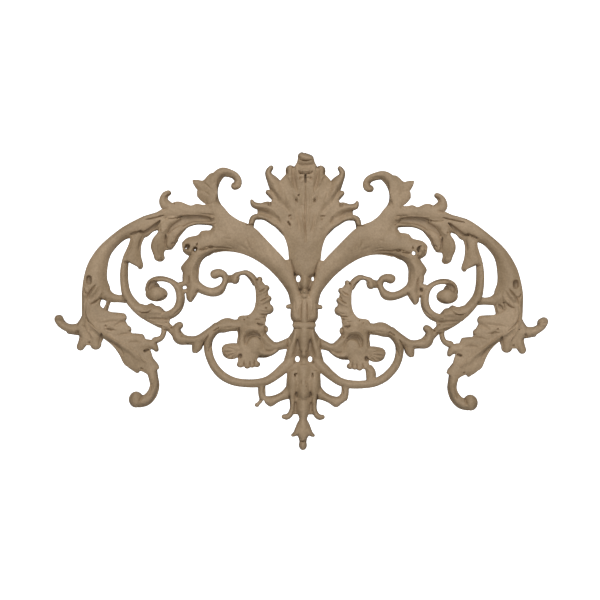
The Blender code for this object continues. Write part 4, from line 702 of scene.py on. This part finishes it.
innerMarks = {
    "raise": [
        (0.6, 1.2, 66, 28.8), (1.6, 1.4, 69, 28.5), (0.7, 1, 71.3, 29.9),
        (0.8, 0.7, 57, 29.3, 61, 27.5, 65, 25.5),
        (0.9, 0.8, 25.5, -20, 28, -18, 32, -17.3, 35, -18.5, 37, -23), (0.8, 0.7, 43.8, -13.3),
        (0.7, 0.7, 56.5, -23, 58.5, -29), (0.8, 0.5, 27.2, 3.2, 24.8, 4.5, 22.2, 6.4),
        (0.8, 0.5, 26.2, -2.4, 23.4, -1, 21, 0.4), (0.8, 0.5, 27.4, -9.9, 24.6, -9.6, 22, -9.2),
        (1.1, 0.6, 4, -7.5, 4, -5), (2.5, 0.45, 0, 12.4, 0, 9.2), (1.7, 0.7, 0, 5.3), (2.2, 0.45, 0, 2.8),
    ],
    "cut": [
        (0.5, 2, 64.6, 33.4, 64.8, 32.2), (0.5, 1.5, 68.5, 26.5),
        (0.7, 1.4, 58, 30.3, 60.5, 29.9, 63.5, 29.5),
        (1, 1.6, 45, 29.5, 52, 29.5, 57, 27.5, 60, 25, 62, 22), (0.8, 0.8, 63.9, 22, 64.2, 16, 64.2, 12),
        (0.6, 1.4, 69.5, 14.5, 69.3, 11, 70.3, 9), (0.7, 1.2, 63.8, 5.6, 65, 4),
        (0.7, 1.2, 65.5, 2.5, 66.4, 1, 67.3, -0.5), (0.5, 1.4, 49.5, 14, 51, 13.5, 52.8, 13.3),
        (1, 1.4, 45, 14, 45.6, 11), (0.6, 1, 49.3, 5, 50, 3.6), (0.7, 1.4, 23.2, 7.4, 25, 5.9, 27.7, 4.6),
        (0.6, 1, 22, 3.5, 23, 2), (0.6, 1, 29.2, 12, 29, 9.8), (0.7, 1.4, 21.6, 1.9, 23.6, 0.6, 26.4, -0.8),
        (0.7, 1.4, 20.4, -8.2, 23, -8.8, 26.8, -8.6), (0.5, 0.5, 26.4, -6.2, 22.6, -7.2, 20.8, -5.2),
        (0.8, 0.5, 25.2, -22.4, 24.7, -26.2, 23.4, -29.6, 20.4, -30.6, 16.4, -29),
        (0.5, 0.8, 26.5, -11.7, 29, -11.7), (0.9, 1.6, 23.5, -16.5, 23.5, -19.5), (0.7, 1.4, 24.3, -21.2),
        (0.7, 1.4, 36, -12), (0.6, 1.2, 34, -10.5), (0.7, 1.4, 39, -17, 39, -24), (0.6, 1.6, 40.6, -17.5),
        (0.6, 1.4, 30.5, 10, 33, 13, 36, 14.6, 39.5, 14.3), (0.5, 1.4, 40.2, 13.2),
        (0.7, 0.7, 42.5, -16.3, 45, -16.7, 48, -16.8), (0.7, 1.6, 51.3, -17, 54, -18.8),
        (0.6, 1.2, 51, -19), (0.6, 1.8, 57, -21, 59.5, -25, 61.5, -29.5), (0.8, 1.2, 55.5, -27, 57, -31),
        (0.9, 0.5, 18, -30.5, 23, -30.5), (0.9, 1.6, 21.5, -33.6, 26.5, -33.8),
        (0.9, 0.9, 41.6, -29.8, 45, -28.9, 48.6, -28.4), (0.9, 1, 41.8, -31, 45, -31.2, 49.4, -31.6),
        (0.9, 1, 41.6, -32.2, 44.4, -33.4, 47.4, -35), (0.8, 0.9, 40.8, -33, 42.4, -34.4, 43.6, -36.4),
        (0.6, 1.1, 29.6, -35.8, 29.6, -38, 29.7, -40), (0.55, 1.2, 32.4, -36.4, 32.4, -38.4, 32.4, -40.4),
        (0.6, 1.2, 35.9, -36.6, 35.9, -38.6, 36, -40.4), (0.6, 1.2, 74, -17.5, 74, -20),
        (0.6, 1.2, 73.5, -22.2), (0.6, 1.2, 66.8, -26, 70, -26.5), (0.9, 1.6, 6, 16.4, 6, 15.4),
        (0.5, 1.2, 1.5, 0, 1.8, -6, 1.9, -12), (0.8, 0.5, 5.6, -1, 5.6, -5), (0.5, 0.6, 0.5, 1.3, 2.3, 1.1),
        (0.6, 0.8, 2.6, 4.4, 2.9, 3), (0.6, 1.4, 8.5, -5.2, 10.5, -5), (0.5, 0.8, 2, -12.6, 6.5, -12.6),
        (0.6, 0.8, 2, -16.9, 6, -17), (0.7, 1.4, 9.8, -24, 9.9, -28), (0.6, 1.2, 5.7, -36.6, 5.4, -37.6),
        (0.5, 0.8, 1.5, -48, 1.5, -50), (0.6, 2.2, 8.5, -56, 8.3, -60, 7.5, -63),
        (0.5, 1.4, 0, -84.4, 1.6, -84.4), (0.6, 1.2, 12, -55.2, 17, -57.6, 22, -57.9),
        (0.5, 1, 23.8, -55.5, 23.8, -53),
    ],
    "sink": [
        (0.5, 3.4, 55.8, 31.3, 57.2, 31.2), (0.6, 4.2, 24.5, -14.7, 26.5, -15, 28, -14),
        (0.45, 4.4, 24, -10.5), (0.4, 3, 28.5, 12),
        (1.5, 4.3, 26.6, -21.6, 28.4, -20.7, 30.5, -20.5, 32.8, -21.3, 34.3, -23.4, 34.8, -26.2),
        (0.6, 2.8, 61.3, -29.4), (0.95, 2.2, 38.1, -33.4, 38.3, -34), (0.5, 2.6, 79.5, -17.2),
        (0.7, 3, 2.8, 6.3), (0.8, 2.9, 3.8, -23.4, 3.6, -27, 3.4, -32),
        (0.5, 3.2, 4.2, -55.2, 4.3, -56.4, 3.9, -57.5), (0.55, 2.6, 4.7, -61.6, 4.5, -66.6),
        (0.4, 2.6, 25.6, -60),
    ],
}
leftMarks = {
    "raise": [
        (0.75, 0.55, 3.6, 54.3, 2.2, 48, 1.55, 42.7, 1.2, 36.5), (0.8, 0.6, 2.8, 87.4),
        (0.9, 0.55, 8.1, 56.4, 6.5, 52.2, 5.1, 46.9, 4.2, 41),
    ],
    "sink": [
        (0.4, 4.6, 4, -43.8, 5.2, -44.2, 5, -46), (0.35, 5.6, 3.4, 75.9), (0.5, 4.8, 23, -4.8),
        (0.95, 2, 65.7, 30.4, 66.1, 29.6), (1.15, 2, 70.3, 31.8, 70.8, 30.9), (0.4, 4.2, 64.6, 65.2),
        (0.4, 4.2, 60.2, 57),
    ],
    "cut": [
        (1.1, 0.6, 6.4, 55, 4.4, 49.5, 3.3, 43, 2.8, 39),
        (0.9, 0.9, 1.8, 53, 0.95, 48, 0.1, 42.7, -0.4, 38, -0.15, 34), (0.55, 2.6, 4, 63.1, 4.2, 62.9),
        (0.4, 1.6, 2, 57.6), (0.85, 1.8, 9, 50.8, 9.6, 50.3), (0.7, 0.9, 8.2, 48.8, 8.8, 48.5),
        (0.8, 2.4, 10.2, 46.8, 9.2, 45), (0.9, 0.8, 61.9, 71.4, 60.9, 69.9, 59, 68.2, 56.6, 66),
        (1.1, 0.6, 63.6, 65.2, 60.6, 64.4, 57.4, 62.4), (0.9, 0.6, 59.8, 57.4, 57.4, 57.2, 54.6, 58.2),
    ],
}
rightMarks = {
    "raise": [
        (0.9, 0.5, 7.8, 54, 6.6, 48.6, 5.3, 42, 4.6, 38), (1.1, 0.45, 4, 53, 3.3, 47, 2.4, 40),
        (1.5, 1.3, 70.4, 31.2), (0.6, 0.7, 54.3, 46.2),
    ],
    "sink": [
        (0.4, 4.6, 5.3, -43.8, 5.3, -45.6), (0.6, 2.8, 69.4, 34, 68.3, 33, 67.8, 31.6, 68.1, 30.2),
        (0.7, 1.7, 72.1, 7.6, 72.3, 6.6), (0.5, 2, 71.8, 3.3),
        (0.9, 1.9, 119, -1.6, 120.4, -3.2, 121.4, -4.2),
    ],
    "cut": [
        (0.9, 0.6, 2.4, 57, 2.1, 52, 1.6, 47, 0.6, 42), (0.9, 0.5, 5.8, 52, 5, 47, 3.9, 40),
        (0.5, 1.4, 1.8, -51.5), (0.4, 1.6, 16, 66.2), (0.7, 1.3, 9.4, 50.4, 11.6, 50.7),
        (0.6, 0.9, 9.8, 49.2, 10, 48.2), (1.6, 0.8, 54.3, 46.2),
        (0.6, 1, 69.4, 34, 71, 33.9, 72.3, 32.6, 72.5, 30.8, 71.6, 29.4),
    ],
}

carving = {
    "reach": 1.6,             # how far from its line a mark is felt, in its half widths as the next two
    "sinkRim": 1.45,          # where the slope into a sunk mark starts
    "sinkSlope": 0.8,         # how wide that slope is
    "ends": 0.04,             # in this last share of its length a mark gets no thinner
    "far": 9.0,               # where no mark is felt any more
}


def markGap(x, z, path, half):
    # how far each place lies from the mark's line, in half widths, and how wide the mark is there
    gap, along = np.full(x.shape, carving["far"]), np.zeros(x.shape)
    pairs = list(zip(path, path[1:])) or [(path[0], path[0])]
    for k, ((xa, za), (xb, zb)) in enumerate(pairs):
        dx, dz = xb - xa, zb - za
        t = np.clip(((x - xa) * dx + (z - za) * dz) / max(dx * dx + dz * dz, 1e-9), 0, 1)
        here = np.clip((k + t) / len(pairs), carving["ends"], 1 - carving["ends"])
        width = half * (np.sqrt(np.sin(math.pi * here)) if len(pairs) > 2 else 1.0)
        off = np.hypot(x - xa - t * dx, z - za - t * dz) / width
        along = np.where(off < gap, width / half, along)
        gap = np.minimum(gap, off)
    return gap, along


def chisel(x, z, height, facing, kind, half, value, path):
    reach = half * carving["reach"]
    xs, zs = [p[0] for p in path], [p[1] for p in path]
    near = np.flatnonzero((x > min(xs) - reach) & (x < max(xs) + reach) & (z > min(zs) - reach)
                          & (z < max(zs) + reach) & (height > skin["leastWall"]))
    gap, along = markGap(x[near], z[near], path, half)
    now = height[near]
    if kind == "sink":
        share = np.clip((carving["sinkRim"] - gap) / carving["sinkSlope"], 0, 1)
        height[near] = now + np.minimum(0, value - now) * share * share * (3 - 2 * share)
        return
    swell = value * along * np.clip(1 - gap ** 2, 0, 1) ** 2
    height[near] = np.maximum(now - swell, skin["leastWall"]) if kind == "cut" else now + swell * facing[near]


def carve(places, facing, markSet, sides):
    x, z, height = places[:, 0], places[:, 2], -places[:, 1]
    for kind in ("raise", "cut", "sink"):
        for half, value, *flat in markSet.get(kind, ()):
            path = list(zip(flat[::2], flat[1::2]))
            if len(path) > 2:
                path = smoothRows(path)
            for side in sides:
                px, pz = np.array([p[0] for p in path], float), np.array([p[1] for p in path], float)
                px, pz = (-px, pz) if side < 0 else movedRight(px, pz)
                chisel(x, z, height, facing, kind, half, value, list(zip(px, pz)))
    places[:, 1] = -height


def spread(field, reach):
    # a soft blur, reach in cells
    steps = int(3 * reach) + 1
    kernel = np.exp(-0.5 * (np.arange(-steps, steps + 1) / reach) ** 2)
    for axis in (0, 1):
        field = np.apply_along_axis(lambda row: np.convolve(row, kernel, "same"), axis, field)
    return field


def reliefAround(places, cell, reach):
    # the relief as a height map, blurred inside the outline, and its own value at each place
    margin = 14
    spots = (places[:, [0, 2]] - places[:, [0, 2]].min(axis=0)) / cell + margin
    cells = np.round(spots).astype(int)
    relief = np.zeros(cells.max(axis=0) + margin + 2)
    np.maximum.at(relief, (cells[:, 0], cells[:, 1]), -places[:, 1])
    around = spread(relief, reach / cell) / np.maximum(spread((relief > 0).astype(float), reach / cell), 1e-6)
    low = np.floor(spots).astype(int)
    part = spots - low
    out = 0
    for a, b in ((0, 0), (0, 1), (1, 0), (1, 1)):
        weight = np.abs(1 - a - part[:, 0]) * np.abs(1 - b - part[:, 1])
        out = out + weight * around[low[:, 0] + a, low[:, 1] + b]
    return out, relief[cells[:, 0], cells[:, 1]]


melt = {
    "cell": 0.4,              # spacing of the height map, mm
    "reach": 0.62,            # how wide its blur is, mm
    "share": 0.85,            # how far the face goes to the blurred height
}


def melted(places, facing):
    # where one blade meets another the cast runs together, and the outline stays
    soft, top = reliefAround(places, melt["cell"], melt["reach"])
    height = -places[:, 1]
    scaled = height * soft / np.maximum(top, 0.5)
    return height + melt["share"] * ((soft - height) * facing + (scaled - height) * (1 - facing))


# how far a place looks to the front, from 0 on the walls to 1 on the face
front = {"gain": 2.5, "start": 0.3}

normals = np.empty(len(applique.data.vertices) * 3)
applique.data.vertices.foreach_get("normal", normals)
normals = normals.reshape(-1, 3)
facing = np.clip(-normals[:, 1] * front["gain"] - front["start"], 0, 1)
places = readPlaces(applique)
places[:, [0, 2]] += skin["swell"] * normals[:, [0, 2]]
places[:, 1] = -melted(places, facing)
for markSet, sides in ((fanMarks, (-1, 1)), (upperMarks, (-1, 1)), (outerMarks, (-1, 1)),
                       (innerMarks, (-1, 1)), (leftMarks, (-1,)), (rightMarks, (1,))):
    carve(places, facing, markSet, sides)
    print("carved", sum(len(rows) for rows in markSet.values()) * len(sides), "marks")

# hand casting is never quite even: heights and wave lengths, mm
unevenness = [(0.10, 7.0), (0.07, 2.6), (0.03, 1.1)]


def waves(x, z):
    return np.sin(2.1 * x + 1.7 * np.sin(1.3 * z)) + np.sin(2.6 * z + 1.4 * np.sin(1.9 * x + 0.7))


ripple = 0
for height, wave in unevenness:
    ripple = ripple + height * waves(places[:, 0] / wave, places[:, 2] / wave)
places[:, 1] -= np.where(places[:, 1] < -skin["leastWall"], ripple, 0)
writePlaces(applique, places)
applyModifier(applique, "SMOOTH", factor=skin["lastSmooth"], iterations=1)
places = readPlaces(applique)
places[places[:, 1] > -skin["backGap"], 1] = 0.0
writePlaces(applique, places)
faces = len(applique.data.polygons)
applyModifier(applique, "DECIMATE", ratio=min(1.0, skin["triangles"] / (2.0 * faces)))
print("kept:", len(applique.data.polygons), "faces")
pickOnly(applique)
bpy.ops.object.shade_smooth_by_angle(angle=math.radians(skin["softAngle"]))

# how far each place lies below the relief around it, kept on the piece for its material, where it paints
# shade into the hollows
shadeInHollows = {
    "cell": 0.5,              # spacing of the height map, mm
    "reach": 2.4,             # how wide the relief around a place is taken
    "depth": 3.4,             # this far below it counts as a full hollow
}

places = readPlaces(applique)
around = reliefAround(places, shadeInHollows["cell"], shadeInHollows["reach"])[0]
hollow = np.clip((around + places[:, 1]) / shadeInHollows["depth"], 0, 1)
kept = applique.data.attributes.new("hollow", "FLOAT", "POINT")
kept.data.foreach_set("value", hollow.astype(np.float32))
print("hollows kept, mean", round(float(hollow.mean()), 3))

finish = {
    "tan": (0.378, 0.268, 0.159),
    "pale": (0.47, 0.34, 0.214),
    # painted shade: the colour the hollows are darkened towards, standing in for shade in creases
    "shadeBrown": (0.15, 0.10, 0.058),
    "speck": (0.80, 0.79, 0.77),      # tint of the darkest grain
    "roughness": (0.54, 0.74),        # from cloud to cloud
    "cloud": (45, 5),                 # noise scale and detail of the slow change of colour
    "grain": (900, 4),                # and of the fine grain
    "cloudSpan": (0.36, 0.68),        # noise values between tan and pale
    "grainSpan": (0.3, 0.7),
    "shadeSpan": (0.16, 0.9),         # hollow values between unshaded and the full painted shade
    "shadeMost": 0.85,                # share of the painted shade colour in the deepest hollows
    "bump": (0.25, 0.0004),           # strength and distance, in metres
}


def newNode(tree, kind, **values):
    node = tree.nodes.new(kind)
    for key, value in values.items():
        setattr(node, key, value)
    return node


def noise(tree, place, scale, detail):
    node = newNode(tree, "ShaderNodeTexNoise")
    node.inputs["Scale"].default_value = scale
    node.inputs["Detail"].default_value = detail
    tree.links.new(place, node.inputs["Vector"])
    return node.outputs["Fac"]


def ramp(tree, value, span, low, high):
    node = newNode(tree, "ShaderNodeValToRGB")
    for stop, position, colour in zip(node.color_ramp.elements, span, (low, high)):
        stop.position = position
        stop.color = (*colour, 1)
    tree.links.new(value, node.inputs["Fac"])
    return node.outputs["Color"]


def tanComposition():
    paint = bpy.data.materials.new("tanComposition")
    paint.use_nodes = True
    tree = paint.node_tree
    link = tree.links.new
    shader = tree.nodes["Principled BSDF"]
    place = newNode(tree, "ShaderNodeTexCoord").outputs["Object"]
    hollows = newNode(tree, "ShaderNodeAttribute", attribute_name="hollow").outputs["Fac"]
    clouds = noise(tree, place, *finish["cloud"])
    grain = noise(tree, place, *finish["grain"])
    grained = newNode(tree, "ShaderNodeMix", data_type="RGBA", blend_type="MULTIPLY")
    grained.inputs["Factor"].default_value = 1.0
    link(ramp(tree, clouds, finish["cloudSpan"], finish["tan"], finish["pale"]), grained.inputs["A"])
    link(ramp(tree, grain, finish["grainSpan"], finish["speck"], (1, 1, 1)), grained.inputs["B"])
    # painted shade: the colour is darkened towards the deepest hollows, read from the hollow attribute
    shadedColour = newNode(tree, "ShaderNodeMix", data_type="RGBA")
    paintedShade = ramp(tree, hollows, finish["shadeSpan"], (0, 0, 0), (finish["shadeMost"],) * 3)
    link(paintedShade, shadedColour.inputs["Factor"])
    link(grained.outputs["Result"], shadedColour.inputs["A"])
    shadedColour.inputs["B"].default_value = (*finish["shadeBrown"], 1)
    link(shadedColour.outputs["Result"], shader.inputs["Base Color"])
    rough = newNode(tree, "ShaderNodeMapRange")
    rough.inputs["To Min"].default_value, rough.inputs["To Max"].default_value = finish["roughness"]
    link(clouds, rough.inputs["Value"])
    link(rough.outputs["Result"], shader.inputs["Roughness"])
    bump = newNode(tree, "ShaderNodeBump")
    bump.inputs["Strength"].default_value, bump.inputs["Distance"].default_value = finish["bump"]
    link(grain, bump.inputs["Height"])
    link(bump.outputs["Normal"], shader.inputs["Normal"])
    return paint


applique.data.materials.clear()
applique.data.materials.append(tanComposition())
print("material made")
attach(applique, "root")
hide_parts("scroll_applique")

view = {
    "frameWidth": 0.36,        # what the picture spans at the relief's mid depth, in metres
    "lens": 135,
    "sensor": 36,
    "centre": (-0.00265, -0.003, 0.00027),
    "roll": -0.0105,
}
cameraData = bpy.data.cameras.new("camera")
cameraData.lens = view["lens"]
cameraData.sensor_width = view["sensor"]
camera = bpy.data.objects.new("camera", cameraData)
bpy.context.scene.collection.objects.link(camera)
distance = view["lens"] * view["frameWidth"] / view["sensor"]
camera.location = (view["centre"][0], view["centre"][1] - distance, view["centre"][2])
camera.rotation_euler = (math.pi / 2, view["roll"], 0)
bpy.context.scene.camera = camera

studio = {
    "paper": (0.92, 0.92, 0.92),
    "wallGlow": 1.2,          # keeps the wall pure white behind the piece
    "wallDistance": 1.8,
    "floorDrop": 0.9,
    "planeSize": 16.0,
    "air": 0.12,
    # place, size and power of the soft boxes, the last one faint and only for the flat back
    "lights": {
        "keyBox": ((0.0, -1.5, 1.25), 0.9, 19.2),
        "frontBox": ((0.0, -2.6, 0.3), 1.2, 18.2),
        "backBox": ((0.4, 1.5, 0.7), 0.9, 7.0),
    },
}


def stagePlane(name, location, turn, glow):
    bpy.ops.object.select_all(action="DESELECT")
    bpy.ops.mesh.primitive_plane_add(size=studio["planeSize"], location=location, rotation=turn)
    plane = bpy.context.object
    plane.name = name
    bpy.ops.object.transform_apply(location=True, rotation=True, scale=True)
    paper = bpy.data.materials.new(name + "Paper")
    paper.use_nodes = True
    sockets = paper.node_tree.nodes["Principled BSDF"].inputs
    sockets["Base Color"].default_value = (*studio["paper"], 1)
    sockets["Emission Color"].default_value = (1, 1, 1, 1)
    sockets["Emission Strength"].default_value = glow
    plane.data.materials.append(paper)
    return plane


stagePlane("paleFloor", (0, 0, -studio["floorDrop"]), (0, 0, 0), 0.0)
paleWall = stagePlane("paleWall", (0, studio["wallDistance"], 0), (math.pi / 2, 0, 0), studio["wallGlow"])
paleWall.visible_diffuse = False
paleWall.visible_glossy = False


def softBox(name, place, size, power):
    lightData = bpy.data.lights.new(name, "AREA")
    lightData.shape = "SQUARE"
    lightData.size = size
    lightData.energy = power
    light = bpy.data.objects.new(name, lightData)
    bpy.context.scene.collection.objects.link(light)
    light.location = place
    light.visible_camera = False
    light.rotation_euler = (math.atan2(math.hypot(place[0], place[1]), place[2]), 0,
                            math.atan2(-place[0], place[1]) + math.pi)


for name, (place, size, power) in studio["lights"].items():
    softBox(name, place, size, power)
world = bpy.data.worlds.new("studioAir")
world.use_nodes = True
world.node_tree.nodes["Background"].inputs["Color"].default_value = (1, 1, 1, 1)
world.node_tree.nodes["Background"].inputs["Strength"].default_value = studio["air"]
bpy.context.scene.world = world
bpy.context.scene.view_settings.view_transform = "Standard"
print("studio set")
